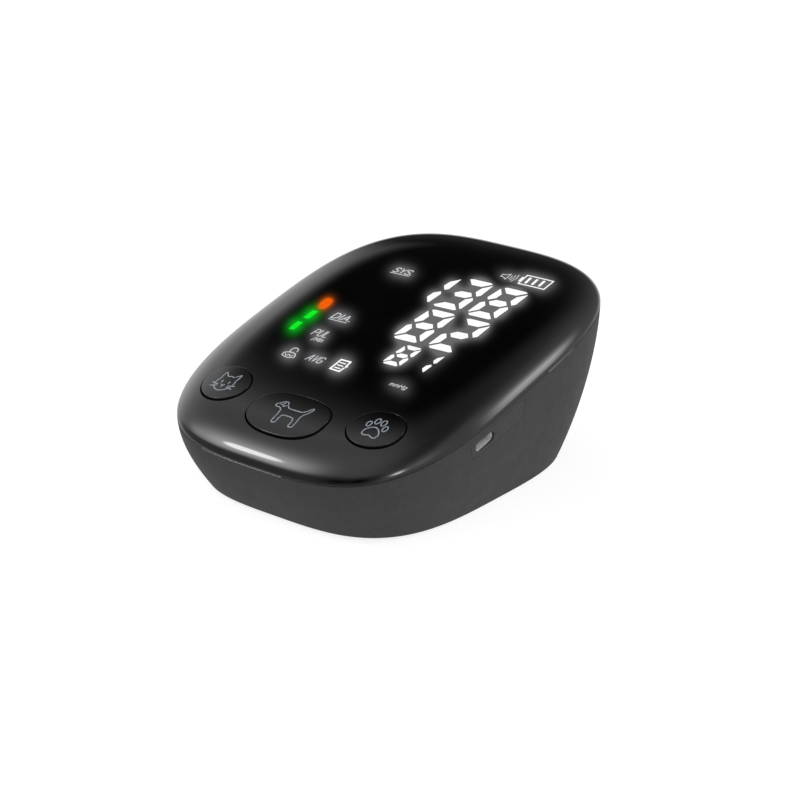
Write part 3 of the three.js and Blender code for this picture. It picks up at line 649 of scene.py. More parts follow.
CAT = [[(-3.4, 1.0), (-3.9, -1.0), (-3.2, -2.9), (-1.6, -4.1), (0, -4.5), (1.6, -4.1), (3.2, -2.9), (3.9, -1.0), (3.4, 1.0)],
       [(-3.4, 1.0), (-3.5, 2.6), (-3.4, 4.2), (-2.4, 3.5), (-1.3, 2.5), (0, 2.75), (1.3, 2.5), (2.4, 3.5), (3.4, 4.2), (3.5, 2.6), (3.4, 1.0)],
       [(-1.6, .1), (-1.6, -.8)], [(1.6, .1), (1.6, -.8)],
       [(-.6, -1.7), (0, -2.2), (.6, -1.7)], [(0, -2.2), (0, -2.9)],
       [(-2.3, -1.9), (-5.0, -1.4)], [(-2.3, -2.6), (-4.8, -3.0)],
       [(2.3, -1.9), (5.0, -1.4)], [(2.3, -2.6), (4.8, -3.0)]]
DOG = [[(-7.2, 2.4), (-6.0, 3.4), (-4.9, 4.3), (-3.5, 4.4), (-2.5, 3.0), (-1.2, 2.0), (1.8, 1.9), (4.5, 2.0), (5.8, 3.1),
        (6.9, 4.7), (7.5, 4.2), (6.7, 2.2), (5.7, .7), (5.5, -1.0), (5.8, -2.8), (5.6, -4.9), (4.1, -4.9), (4.0, -3.0), (3.1, -1.5),
        (1.0, -1.3), (-1.2, -1.5), (-1.6, -3.0), (-1.7, -4.9), (-3.2, -4.9), (-3.3, -2.6), (-3.5, -.6), (-4.0, .8), (-5.2, 1.4), (-6.7, 1.5), (-7.2, 2.4)],
       [(-4.4, 4.1), (-4.6, 2.9), (-3.9, 2.1), (-3.2, 2.9)], [(-5.6, 2.8), (-5.3, 2.8)]]
PAW = [[(0, .1), (1.6, -.6), (2.9, -2.3), (2.6, -4.0), (1.2, -4.1), (0, -3.7), (-1.2, -4.1), (-2.6, -4.0), (-2.9, -2.3), (-1.6, -.6), (0, .1)],
       oval(-3.3, .7, .8, 1.2), oval(-1.25, 2.7, .85, 1.3), oval(1.25, 2.7, .85, 1.3), oval(3.3, .7, .8, 1.2)]


def split(poly, step=1.2):
    """A closed outline with its long edges divided."""
    p = np.asarray(poly, float)
    out = []
    for a, b in zip(p, np.roll(p, -1, 0)):
        k = max(1, int(math.ceil(np.hypot(*(b - a)) / step)))
        out += [a + (b - a) * i / k for i in range(k)]
    return np.array(out)


def add_plate(bd, poly, holes, place, top, bottom):
    P, F = triangulate(poly, holes)
    A, B = place(P[:, 0], P[:, 1], top), place(P[:, 0], P[:, 1], bottom)
    ia, ib = bd.add(A), bd.add(B)
    have = set()
    for f in F:
        bd.f.append(tuple(int(ia[k]) for k in f))
        bd.f.append(tuple(int(ib[k]) for k in f[::-1]))
        have |= {(int(f[0]), int(f[1])), (int(f[1]), int(f[2])), (int(f[2]), int(f[0]))}
    for a, b in sorted(have):
        if (b, a) not in have:
            bd.f.append((int(ia[b]), int(ia[a]), int(ib[a]), int(ib[b])))


def add_line(bd, pts, w, place, top, bottom, step=0.8):
    """A thin ribbon of width w along a line, with rounded ends."""
    p = np.asarray(pts, float)
    closed = np.hypot(*(p[0] - p[-1])) < 1e-6 and len(p) > 3
    if closed:
        p = p[:-1]
    q = []
    m = len(p)
    for i in range(m if closed else m - 1):
        a, b = p[i], p[(i + 1) % m]
        k = max(1, int(math.ceil(np.hypot(*(b - a)) / step)))
        q += [a + (b - a) * j / k for j in range(k)]
    if not closed:
        q.append(p[-1])
    q = np.array(q)
    if closed:
        d0, d1 = q - np.roll(q, 1, 0), np.roll(q, -1, 0) - q
    else:
        d = np.diff(q, axis=0)
        d0, d1 = np.r_[d[:1], d], np.r_[d, d[-1:]]
    d0 = d0 / np.hypot(*d0.T)[:, None]
    d1 = d1 / np.hypot(*d1.T)[:, None]
    t = d0 + d1
    t = t / np.maximum(np.hypot(*t.T), 1e-3)[:, None]
    c = np.maximum((t * d1).sum(1), 0.6)
    half = np.full(len(q), w / 2) / c
    n = np.c_[-t[:, 1], t[:, 0]]
    if not closed:
        s, e = q[0], q[-1]
        ends = [(-.5, .30), (-.38, .66), (-.18, .93)]
        q = np.r_[[s + d1[0] * a * w for a, _ in ends], q, [e - d0[-1] * a * w for a, _ in ends[::-1]]]
        half = np.r_[[b * w / 2 for _, b in ends], half, [b * w / 2 for _, b in ends[::-1]]]
        n = np.r_[[n[0]] * 3, n, [n[-1]] * 3]
    L, R = q + n * half[:, None], q - n * half[:, None]
    rows = [place(L[:, 0], L[:, 1], top), place(R[:, 0], R[:, 1], top), place(R[:, 0], R[:, 1], bottom), place(L[:, 0], L[:, 1], bottom)]
    ids = [bd.add(r) for r in rows]
    for i in range(4):
        bd.bridge(ids[i], ids[(i + 1) % 4], closed=closed)
    if not closed:
        bd.f.append(tuple(int(r[0]) for r in ids))
        bd.f.append(tuple(int(r[-1]) for r in ids[::-1]))


def on_cover(x, y, h):
    return np.c_[x, y, dome_z(x, y)] + NRM * h


# Painted glow: a halo of light painted on the cover round the lit marks, spread in an oval: 2.3 and 1.8 units a
# millimetre along one axis, 0.61 and 1.47 along the other.
SPREAD = np.array([[2.30, 1.80], [0.61, -1.47]])
SPREAD_STEP = 0.5


def spread_mask(polys, lines, x0, y0, nx, ny):
    """Which cells of the spread grid the marks cover."""
    gx, gy = x0 + np.arange(nx) * SPREAD_STEP, y0 + np.arange(ny) * SPREAD_STEP
    out = np.zeros((ny, nx), bool)

    def window(p, pad):
        i0, i1 = np.searchsorted(gx, p[:, 0].min() - pad), np.searchsorted(gx, p[:, 0].max() + pad)
        j0, j1 = np.searchsorted(gy, p[:, 1].min() - pad), np.searchsorted(gy, p[:, 1].max() + pad)
        X, Y = np.meshgrid(gx[i0:i1], gy[j0:j1])
        return (slice(j0, j1), slice(i0, i1)), X, Y

    for poly in polys:
        p = np.asarray(poly, float) @ SPREAD.T
        w, X, Y = window(p, 1)
        out[w] |= inside(p, np.c_[X.ravel(), Y.ravel()]).reshape(X.shape)
    for line, width in lines:
        p = np.asarray(line, float) @ SPREAD.T
        half = width * 0.95
        w, X, Y = window(p, half + 1)
        for a, b in zip(p, p[1:]):
            d = b - a
            t = np.clip(((X - a[0]) * d[0] + (Y - a[1]) * d[1]) / max(d @ d, 1e-9), 0, 1)
            out[w] |= (X - a[0] - t * d[0]) ** 2 + (Y - a[1] - t * d[1]) ** 2 < half ** 2
    return out.astype(float)


def blurred(mask, sigma):
    ny, nx = mask.shape
    fy, fx = np.fft.fftfreq(ny)[:, None], np.fft.rfftfreq(nx)[None]
    k = np.exp(-2 * (np.pi * sigma / SPREAD_STEP) ** 2 * (fx ** 2 + fy ** 2))
    return np.maximum(np.fft.irfft2(np.fft.rfft2(mask) * k, mask.shape), 0)


def linear(v):
    v = np.clip(v / 255, 0, 1)
    return np.where(v < 0.04045, v / 12.92, ((v + 0.055) / 1.055) ** 2.4)


def painted_glow_at(x, y):
    """Painted glow round the lit marks, at plan points of the cover."""
    q = np.c_[x, y] @ SPREAD.T
    x0, y0 = -240.0, -150.0
    nx, ny = 1200, 600
    grid = (x0, y0, nx, ny)
    small = [(s, w) for lines, w in LABELS + WHITE_LINES for s in lines]
    digits = blurred(spread_mask(DIGITS, [], *grid), 5.5)
    marks = blurred(spread_mask([], small, *grid), 4.5)
    green = blurred(spread_mask(GREEN, [], *grid), 4.5)
    orange = blurred(spread_mask(ORANGE, [], *grid), 3.5)
    orange_near = blurred(spread_mask(ORANGE, [], *grid), 1.9)
    u = np.clip((q[:, 0] - x0) / SPREAD_STEP, 0, nx - 1.001)
    v = np.clip((q[:, 1] - y0) / SPREAD_STEP, 0, ny - 1.001)
    i, j = u.astype(int), v.astype(int)
    fu, fv = u - i, v - j

    def at(m):
        return (m[j, i] * (1 - fu) + m[j, i + 1] * fu) * (1 - fv) + (m[j + 1, i] * (1 - fu) + m[j + 1, i + 1] * fu) * fv

    w = linear(np.maximum(np.minimum(104, 430 * at(digits)), np.minimum(104, 250 * np.sqrt(at(marks))) * (at(marks) > 1e-5)))
    gl = linear(255 * (at(green) / 0.62) ** 0.45 * (at(green) > 1e-4))
    og = 255 * np.sqrt(at(orange) / 0.6) * (at(orange) > 1e-4)
    out = w[:, None] * np.array([1.0, 1.0, 1.03])
    out += gl[:, None] * np.array([0.006, 0.9, 0.03])
    out += np.c_[linear(og), linear(og * 0.42), linear(og * 0.05)] * 0.9
    out += np.clip((at(orange_near) - 0.06) / 0.40, 0, 1)[:, None] * np.array([0.70, 0.085, 0.001])
    return np.clip(out, 0, 0.9)


# ------------------------------------------------------------------ front cover
def rim_h(r):
    return DOME_H * np.maximum(0, 1 - np.asarray(r, float) ** DOME_M) ** DOME_Q


def exact_n(x, y):
    a, b, n = HALF_W, HALF_D, TOP_N
    rho = np.maximum(rho_of(x, y), 1e-6)
    rr = np.minimum(rho, 0.99999)
    dh = -DOME_H * DOME_Q * DOME_M * rr ** (DOME_M - 1) * (1 - rr ** DOME_M) ** (DOME_Q - 1)
    gx = rho ** (1 - n) * np.abs(x / a) ** (n - 1) * np.sign(x) / a
    gy = rho ** (1 - n) * np.abs(y / b) ** (n - 1) * np.sign(y) / b
    slope = SLOPE + 2 * SAG * y / HALF_W ** 2
    v = np.stack([-dh * gx, -dh * gy - slope, np.ones_like(x)], -1)
    return v / np.linalg.norm(v, axis=-1, keepdims=True)


def smoothstep(x, a, b):
    t = np.clip((x - a) / (b - a), 0, 1)
    return t * t * (3 - 2 * t)


def inner_place(x, y):
    """The cover's inner skin under a point of its outer skin."""
    r = np.minimum(rho_of(x, y), 1.0)
    z = dome_z(x, y)
    P = np.c_[x, y, z] - NRM * COVER
    sx, sy = x * (HALF_W - COVER) / HALF_W, y * (HALF_D - COVER) / HALF_D
    S = np.c_[sx, sy, part_z(sy) + (DOME_H - COVER) * rim_h(r) / DOME_H]
    w = smoothstep(r, 0.915, 0.985)[:, None]
    return P * (1 - w) + S * w


def turn(btn, x, y):
    """From a key's own plan axes to the case's."""
    c, s = math.cos(math.radians(btn["rot"])), math.sin(math.radians(btn["rot"]))
    return btn["x"] + x * c - y * s, btn["y"] + x * s + y * c


def unturn(btn, x, y):
    c, s = math.cos(math.radians(btn["rot"])), math.sin(math.radians(btn["rot"]))
    dx, dy = x - btn["x"], y - btn["y"]
    return dx * c + dy * s, -dx * s + dy * c


def hole_loop(btn, grow, count):
    phi = even_phi(btn["a"], btn["b"], btn["n"], count)
    x, y = turn(btn, *se(btn["a"] + grow, btn["b"] + grow * math.cos(TILT), btn["n"], phi))
    return np.c_[x, y]


BUTTONS = [("left_button", "left_key", LEFT, CAT, 132), ("start_button", "start_key", MID, DOG, 168), ("right_button", "right_key", SIDE, PAW, 132)]


def make_cover():
    count = 360
    phi = even_phi(HALF_W, HALF_D, TOP_N, count)
    fine = np.linspace(0.93, 1, 4001)
    s = np.r_[0, np.cumsum(np.hypot(np.diff(fine) * 62, np.diff(rim_h(fine))))]
    top = np.interp(0.15, rim_h(fine)[::-1], fine[::-1])
    s_top = np.interp(top, fine, s)
    radii = np.interp(np.linspace(0, s_top, 19), s, fine)
    edge = 0.08
    holes = [hole_loop(b, BTN_GAP + edge, n) for _, _, b, _, n in BUTTONS]
    x0, y0 = se(HALF_W * radii[0], HALF_D * radii[0], TOP_N, phi)
    outer = np.c_[x0, y0]
    rings2 = [hole_loop(b, BTN_GAP + g, n) for _, _, b, _, n in BUTTONS for g in (0.75, 1.4)]
    grid = grid_in(outer, [hole_loop(b, BTN_GAP + 1.4, n) for _, _, b, _, n in BUTTONS], 1.05, 0.62)
    P, F = triangulate(outer, holes, np.concatenate(rings2 + [grid]))
    bd = Build()
    normals = []

    def put(pts, nr=None):
        ids = bd.add(pts)
        normals.append(nr if nr is not None else np.full((len(pts), 3), np.nan))
        return ids

    A = put(np.c_[P, dome_z(P[:, 0], P[:, 1])], exact_n(P[:, 0], P[:, 1]))
    # inner skin of the same topology; its hole edges sit at the plain wall
    Q = P.copy()
    k = len(outer)
    for (_, _, b, _, n) in BUTTONS:
        Q[k:k + n] = hole_loop(b, BTN_GAP, n)
        k += n
    B = put(inner_place(Q[:, 0], Q[:, 1]))
    for f in F:
        bd.f.append(tuple(int(A[i]) for i in f))
        bd.f.append(tuple(int(B[i]) for i in f[::-1]))
    # rim, outside then in
    prev = A[:count]
    for r in radii[1:]:
        x, y = se(HALF_W * r, HALF_D * r, TOP_N, phi)
        cur = put(np.c_[x, y, part_z(y) + rim_h(r)], exact_n(x, y))
        bd.bridge(cur, prev)
        prev = cur
    for d, h in ((0.02, 0.07), (0.07, 0.02), (0.15, 0.0)):
        x, y = se(HALF_W - d, HALF_D - d, TOP_N, phi)
        cur = put(np.c_[x, y, part_z(y) + h])
        bd.bridge(cur, prev)
        prev = cur
    inner = [put(inner_place(*se(HALF_W * r, HALF_D * r, TOP_N, phi))) for r in (1.0, 0.9985, 0.993, 0.983, 0.967, 0.95)]
    for cur in inner:
        bd.bridge(cur, prev)
        prev = cur
    bd.bridge(B[:count], prev)
    # button openings: rounded edge and wall
    k = count
    for (_, _, b, _, n) in BUTTONS:
        prev = A[k:k + n]
        for t in (22.5, 45, 67.5, 90):
            a = math.radians(t)
            lp = hole_loop(b, BTN_GAP + edge * (1 - math.sin(a)), n)
            cur = put(on_cover(lp[:, 0], lp[:, 1], -edge * (1 - math.cos(a))))
            bd.bridge(prev, cur, True)
            prev = cur
        lp = hole_loop(b, BTN_GAP, n)
        cur = put(on_cover(lp[:, 0], lp[:, 1], -1.1))
        bd.bridge(prev, cur, True)
        bd.bridge(cur, B[k:k + n], True)
        k += n
    V = bd.verts()
    nr = np.concatenate(normals)
    o = to_object("cover_shell", V, bd.f, normals=nr)
    # painted glow round the lit marks, kept as an emission colour on the cover's outer skin
    g = np.zeros((len(V), 3))
    g[A] = painted_glow_at(P[:, 0], P[:, 1])
    at = o.data.attributes.new("painted_glow", "FLOAT_COLOR", "POINT")
    at.data.foreach_set("color", np.c_[g, np.ones(len(g))].ravel())
    return o


cover = piece(make_cover(), "case", "cover_gloss", "cover", "front_cover")
for i, (x, y) in enumerate(BOSSES):
    top = float(dome_z(np.array([float(x)]), np.array([float(y)]))[0]) - 1.6
    o = turned([[1.55, BOSS_JOINT + 0.3], [3.35, BOSS_JOINT + 0.3], [3.6, BOSS_JOINT + 0.55], [3.6, top], [1.55, top]], 40, T(x, y, 0),
               f"cover_boss_{i + 1}", 35)
    piece(o, "case", "cover_gloss", "button")

# ------------------------------------------------------------------ keys
CROWN, PROUD, RISE = 0.05, 0.44, 0.12
EDGE, EDGE_BACK = 0.14, 0.05


def key_z(btn, x, y):
    u, v = unturn(btn, x, y)
    u, v = np.abs(u / btn["a"]), np.abs(v / btn["b"])
    lift = RISE * ((x - btn["x"]) * 0.63 - (y - btn["y"]) * 0.78) / btn["b"]
    f = (u ** btn["n"] + v ** btn["n"]) ** (1 / btn["n"])
    return dome_z(x, y) + PROUD + lift + CROWN * (1 - np.minimum(f, 1) ** 2)


def make_key(name, btn, count):
    c = np.array([btn["x"], btn["y"], float(dome_z(np.array([btn["x"]]), np.array([btn["y"]]))[0])])
    phi = even_phi(btn["a"], btn["b"], btn["n"], count)
    # the edge is rounder towards the front right
    x, y = se(btn["a"], btn["b"], btn["n"], phi)
    ux, uy = turn(dict(btn, x=0, y=0), x, y)
    w = smoothstep((ux * 0.63 - uy * 0.78) / np.hypot(ux, uy), -0.25, 0.75)
    round_off = EDGE_BACK + (EDGE - EDGE_BACK) * w

    def ring(shrink, w=None, drop=0.0, f=None):
        if f is not None:
            k = 1 - round_off / np.hypot(ux, uy)
            x, y = se(btn["a"] * f, btn["b"] * f, btn["n"], phi)
            x, y = x * k, y * k
        elif np.ndim(shrink):
            x, y = se(btn["a"], btn["b"], btn["n"], phi)
            k = 1 - shrink / np.hypot(ux, uy)
            x, y = x * k, y * k
        else:
            x, y = se(btn["a"] - shrink, btn["b"] - shrink * math.cos(TILT), btn["n"], phi)
        x, y = turn(btn, x, y)
        z = key_z(btn, x, y)
        p = np.c_[x, y, z] - NRM * np.reshape(drop, (-1, 1) if np.ndim(drop) else ())
        if w is not None:
            p = p + NRM * (w - (p - c) @ NRM)[:, None]
        return p

    mid = (-4.9 if name == "start_button" else -4.2)
    rings = [ring(-1.3, -6.0), ring(-1.3, mid), ring(0.0, mid), ring(0.0, None, 0.75)]
    for t in (0, 22.5, 45, 67.5):
        a = math.radians(t)
        rings.append(ring(round_off * (1 - math.cos(a)), None, round_off * (1 - math.sin(a))))
    for f in (1, .985, .96, .92, .86, .78, .68, .56, .42, .27, .12):
        rings.append(ring(0, None, 0.0, f))
    bd = Build()
    top = [btn["x"], btn["y"], float(key_z(btn, np.array([btn["x"]]), np.array([btn["y"]]))[0])]
    bd.loft(rings, start=c + NRM * -6.0, end=top)
    o = to_object(name + "_cap", bd.verts(), bd.f, smooth=40)
    P = np.linalg.inv(np.array(PANEL)) @ np.r_[c, 1]
    M = PANEL @ Matrix.Translation((P[0], P[1], 0))
    low = -12.9 + 0.8 + 0.15
    stem = turned([[0, low], [1.9, low], [2.2, low + 0.3], [2.2, P[2] - 5.5], [0, P[2] - 5.5]], 32, M)
    join(o, stem)
    shade(o, 40)
    return o


for node, body, btn, art, count in BUTTONS:
    key = piece(make_key(node, btn, count), body, "button_gloss", "button", node)
    # painted shade: the side walls get a dull black finish that keeps the groove round each key dark
    key.data.materials.append(MAT["key_wall_shade"])
    for f in key.data.polygons:
        if np.array(f.normal) @ NRM < 0.4:
            f.material_index = 1
    bd = Build()
    for line in art:
        pts = smooth_line(line, per=4)
        add_line(bd, pts + np.array([btn["x"], btn["y"]]), 0.42,
                 lambda x, y, h: np.c_[x, y, key_z(btn, x, y)] + NRM * h, 0.03, -0.06, step=0.5)
    piece(to_object(node + "_print", bd.verts(), bd.f), body, "button_gloss", "print")

# ------------------------------------------------------------------ lit marks
UP, DOWN = 0.04, -0.06
bd = Build()
for s in DIGITS:
    add_plate(bd, split(s), [], on_cover, UP, DOWN)
for lines, w in WHITE_LINES:
    for s in lines:
        add_line(bd, s, w, on_cover, UP, DOWN)
piece(to_object("display_digits", bd.verts(), bd.f), "case", "led_module", "lit_white")
bd = Build()
for lines, w in LABELS:
    for s in lines:
        add_line(bd, s, w, on_cover, UP, DOWN, step=0.5)
piece(to_object("display_labels", bd.verts(), bd.f), "case", "led_module", "lit_label")
bd = Build()
for s in GREEN:
    add_plate(bd, split(s), [], on_cover, UP, DOWN)
piece(to_object("level_bars_green", bd.verts(), bd.f), "case", "led_module", "lit_green")
bd = Build()
for s in ORANGE:
    add_plate(bd, split(s), [], on_cover, UP, DOWN)
piece(to_object("level_bar_orange", bd.verts(), bd.f), "case", "led_module", "lit_orange")

# ------------------------------------------------------------------ rear case
CASE_N = 320
CASE_PHI = even_phi(54, 65, 3.3, CASE_N)


def low_ring(zfun, d, phi=None):
    phi = CASE_PHI if phi is None else phi
    te = np.full(len(phi), 0.5)
    for _ in range(12):
        x, y = flank(te, d, phi)
        z = zfun(y)
        te = np.clip(z / part_z(y), 0, 1)
    return np.c_[x, y, z]


def filled(d, z0, rise, steps=20, phi=None):
    """Closed solid inside the flank, inset d."""
    bd = Build()
    rings = [low_ring(lambda y, k=k: z0 + (part_z(y) + rise - z0) * k / steps, d, phi) for k in range(steps + 1)]
    bd.loft(rings, start=[0, BASE_Y, z0], end=[0, 0, float(part_z(0)) + rise])
    return to_object("t", bd.verts(), bd.f)


def make_case():
    bd = Build()
    rings = []
    f = 0.8
    for t in (0, 15, 30, 45, 60, 75):
        a = math.radians(t)
        rings.append(low_ring(lambda y, z=f * (1 - math.cos(a)): np.full_like(y, z), f * (1 - math.sin(a))))
    e = 0.5
    for k in np.linspace(0, 1, 26):
        rings.append(low_ring(lambda y: f + (part_z(y) - PART_GAP - e - f) * k, 0.0))
    for t in (15, 30, 45, 60, 75, 90):
        a = math.radians(t)
        rings.append(low_ring(lambda y: part_z(y) - PART_GAP - e + e * math.sin(a), e * (1 - math.cos(a))))
    for k in np.linspace(1, 0, 12):
        rings.append(low_ring(lambda y: FLOOR_Z + (part_z(y) - PART_GAP - FLOOR_Z) * k, WALL))
    bd.loft(rings, start=[0, BASE_Y, 0], end=[0, BASE_Y, FLOOR_Z])
    o = to_object("case_shell", bd.verts(), bd.f)
    # tongue inside the cover's rim
    sect = [(2.1, -6.0), (3.3, -4.6), (4.4, -4.6), (4.4, 1.2), (3.3, 1.2), (3.3, -0.6), (2.1, -0.6)]
    b2 = Build()
    ids = [b2.add(low_ring(lambda y, r=r: part_z(y) + r, d)) for d, r in sect]
    for i in range(len(ids)):
        b2.bridge(ids[i], ids[(i + 1) % len(ids)])
    join(o, to_object("t", b2.verts(), b2.f))
    B, bw = BAY, BAY["wall"]
    block = box(-B["x"] - bw, B["y0"] - bw, 1.0, B["x"] + bw, B["y1"] + bw, B["z1"] + bw)
    boolean(block, filled(1.2, 0.6, 0.0), "INTERSECT")
    join(o, block)
    cut(o, box(-B["x"], B["y0"], FLOOR_Z + 1.6, B["x"], B["y1"], B["z1"]),
        box(-B["x"] + 0.9, B["y0"] + 0.9, -1, B["x"] - 0.9, B["y1"] - 0.9, FLOOR_Z + 3))
    for x in (-18, 18):
        cut(o, box(x - 4.4, B["y0"] - 1.2, FLOOR_Z + 0.2, x + 4.4, B["y0"] + 2, FLOOR_Z + 4.2))
    for x, y, z0 in ((30, -6, B["z1"] + 1), (-30, -6, B["z1"] + 1), (20, -40, 1.4), (-20, -40, 1.4)):
        zt = PANEL_Z + SLOPE * y - 16.6 / math.cos(TILT) - 1.1
        join(o, turned([[0, z0], [2.4, z0], [2.4, zt], [0, zt]], 32, T(x, y, 0)))
    for x, y in BOSSES:
        join(o, turned([[0, 0.5], [4.1, 0.5], [4.1, BOSS_JOINT], [0, BOSS_JOINT]], 40, T(x, y, 0)))
        cut(o, turned([[0, -1], [3.25, -1], [3.25, 0.0], [2.95, 0.3], [2.95, BOSS_JOINT - 6], [0, BOSS_JOINT - 6]], 40, T(x, y, 0)),
            turned([[0, -1], [1.7, -1], [1.7, BOSS_JOINT + 1], [0, BOSS_JOINT + 1]], 32, T(x, y, 0)))
    for x, y in FEET:
        cut(o, turned([[0, -1], [5.4, -1], [5.4, 0.0], [5.2, 0.2], [5.2, 1.0], [0, 1.0]], 48, T(x, y, 0)))
    for x, y in ((0, -38), (4, -38), (-4, -38), (2, -34.5), (-2, -34.5), (2, -41.5), (-2, -41.5)):
        cut(o, turned([[0, -1], [0.9, -1], [0.9, 4], [0, 4]], 20, T(x, y, 0)))
    cut(o, turned([[0, 45], [SOCK["outer"] / 2 + 0.2, 45], [SOCK["outer"] / 2 + 0.2, 70], [0, 70]], 64, axis_x(0, SOCK["y"], SOCK["z"], -1)))
    rec = port_prism(40, 70, -6.70, 21.50, -3.45, 3.45, 1.30)
    boolean(rec, filled(0.75, -1, 1), "DIFFERENCE")
    cut(o, rec, slot_prism(9.4, 3.7, 45, 70))
    shade(o, 30)
    return o


def port_outline(pts, x0, x1):
    """Closed prism along X of a (v, w) outline in the supply socket's tilted frame."""
    bd = Build()
    p = np.asarray(pts, float)
    M = np.array(PORTM)
    rings = []
    for x in (x0, x1):
        q = np.c_[np.full(len(p), x), p]
        rings.append(q @ M[:3, :3].T + M[:3, 3])
    c = p.mean(0)
    ends = [np.array([x, *c]) @ M[:3, :3].T + M[:3, 3] for x in (x0, x1)]
    bd.loft(rings, start=ends[0], end=ends[1])
    return to_object("t", bd.verts(), bd.f)


def round_rect(x0, x1, y0, y1, r, k=6):
    out = []
    for cx, cy, a0 in ((x1 - r, y0 + r, -90), (x1 - r, y1 - r, 0), (x0 + r, y1 - r, 90), (x0 + r, y0 + r, 180)):
        out += [(cx + r * math.cos(math.radians(a0 + 90 * i / k)), cy + r * math.sin(math.radians(a0 + 90 * i / k))) for i in range(k + 1)]
    return np.array(out)


def port_prism(x0, x1, v0, v1, w0, w1, r):
    return port_outline(round_rect(v0, v1, w0, w1, r), x0, x1)


def slot_prism(length, height, x0, x1, k=12):
    r = height / 2
    return port_outline(round_rect(-length / 2, length / 2, -r, r, r - 1e-4, k), x0, x1)


case = piece(make_case(), "case", "case_matte", "case", "rear_case")
# painted highlight: over two arcs its rolled upper edge takes a darker, glossier finish, placed to show a bright line
# along the parting line there
case.data.materials.append(MAT["case_edge_highlight"])
for f in case.data.polygons:
    c = np.array(f.center) * 1000 - [0, 0, FOOT]
    drop = part_z(c[1]) - PART_GAP - c[2]
    turn_at = math.degrees(math.atan2(c[1], c[0]))
    # the two arcs where the painted highlight line is wanted
    if not (-109 < turn_at < -80 or 10 < turn_at < 23.5):
        continue
    if -0.05 < drop < 0.52 and abs(f.normal.z) < 0.995 and f.normal.z > 0.02 and (f.normal.x * c[0] + f.normal.y * c[1]) > 0:
        f.material_index = 1

# supply socket
o = port_prism(40, 70, -6.6, 21.4, -3.35, 3.35, 1.2)
boolean(o, filled(0.02, 0.0, -PART_GAP), "INTERSECT")
boolean(o, filled(0.6, -1, 1), "DIFFERENCE")
cut(o, slot_prism(9.4, 3.7, 45, 70))
shade(o, 30)
o.name = "socket_plate"
piece(o, "case", "plate_matte", "plate", "port_plate")
o = slot_prism(9.2, 3.5, 49.6, 57.3, 14)
bd = Build()
M = np.array(PORTM)
rings = []
for x, grow in ((49.0, 0.0), (55.9, 0.0), (57.3, 0.34), (58.2, 0.34)):
    r = 1.31 + grow
    q = round_rect(-4.15 - grow, 4.15 + grow, -r, r, r - 1e-4, 14)
    rings.append(np.c_[np.full(len(q), x), q] @ M[:3, :3].T + M[:3, 3])
bd.loft(rings, start=np.array([49.0, 0, 0]) @ M[:3, :3].T + M[:3, 3], end=np.array([58.2, 0, 0]) @ M[:3, :3].T + M[:3, 3])
cut(o, to_object("t", bd.verts(), bd.f))
shade(o, 35)
o.name = "socket_shell"
piece(o, "case", "steel", "shell", "usb_shell")
o = slot_prism(8.1, 2.42, 49.7, 51.3, 14)
join(o, box(51.0, -3.3, -0.35, 55.0, 3.3, 0.35, PORTM))
shade(o, 35)
o.name = "socket_tongue"
piece(o, "case", "black_plastic", "tongue", "usb_tongue")

# air socket: profile radius, distance in from the mouth
prof = [[3.8, 0.35], [4.0, 0.08], [4.2, 0], [5.45, 0], [5.62, 0.08], [5.7, 0.25], [5.7, 8], [3.6, 8.6], [2.0, 9.4], [2.0, 14.3], [1.8, 14.5], [1.0, 14.5],
        [1.0, 8.8], [3.4, 8.0]]
o = turned(prof, 64, axis_x(SOCK["x"], SOCK["y"], SOCK["z"], 1), "hose_socket", 35)
piece(o, "case", "black_plastic", "black", "air_socket")

# ------------------------------------------------------------------ battery door, cells, springs
def make_door():
    B = BAY
    r0, r1 = -B["x"] + 1.3, B["x"] - 1.3
    v0, v1 = B["y0"] + 1.3, B["y1"] - 1.3
    bd = Build()
    rings = []
    for d, z in ((0.35, 0.25), (0.12, 0.32), (0.0, 0.55), (0.0, 2.3)):
        p = round_rect(r0 + d, r1 - d, v0 + d, v1 - d, 0.8 - d * 0.5, 5)
        rings.append(np.c_[p, np.full(len(p), z)])
    bd.loft(rings, start=[0, (v0 + v1) / 2, 0.25], end=[0, (v0 + v1) / 2, 2.3])
    o = to_object("bay_door", bd.verts(), bd.f)
    join(o, box(-B["x"] + 4, B["y0"] + 3.2, 2.1, B["x"] - 4, B["y0"] + 4.6, 3.4), box(-B["x"] + 4, B["y1"] - 4.6, 2.1, B["x"] - 4, B["y1"] - 3.2, 3.4))
    for x in (-18, 18):
        join(o, box(x - 4, B["y0"] + 1.3, 2.1, x + 4, B["y0"] + 2.5, 4.4), box(x - 4, B["y0"] - 0.6, 3.2, x + 4, B["y0"] + 2.5, 4.4))
    cut(o, turned([[0, -8], [6, -8], [6, 8], [0, 8]], 96, axis_x(0, B["y1"] - 7, -4.9, 1)))
    # grip lines beside the scoop
    for k in range(4):
        cut(o, box(-11, B["y1"] - 14.5 - 1.6 * k, 0.0, 11, B["y1"] - 13.9 - 1.6 * k, 0.55))
    shade(o, 30)
    return o


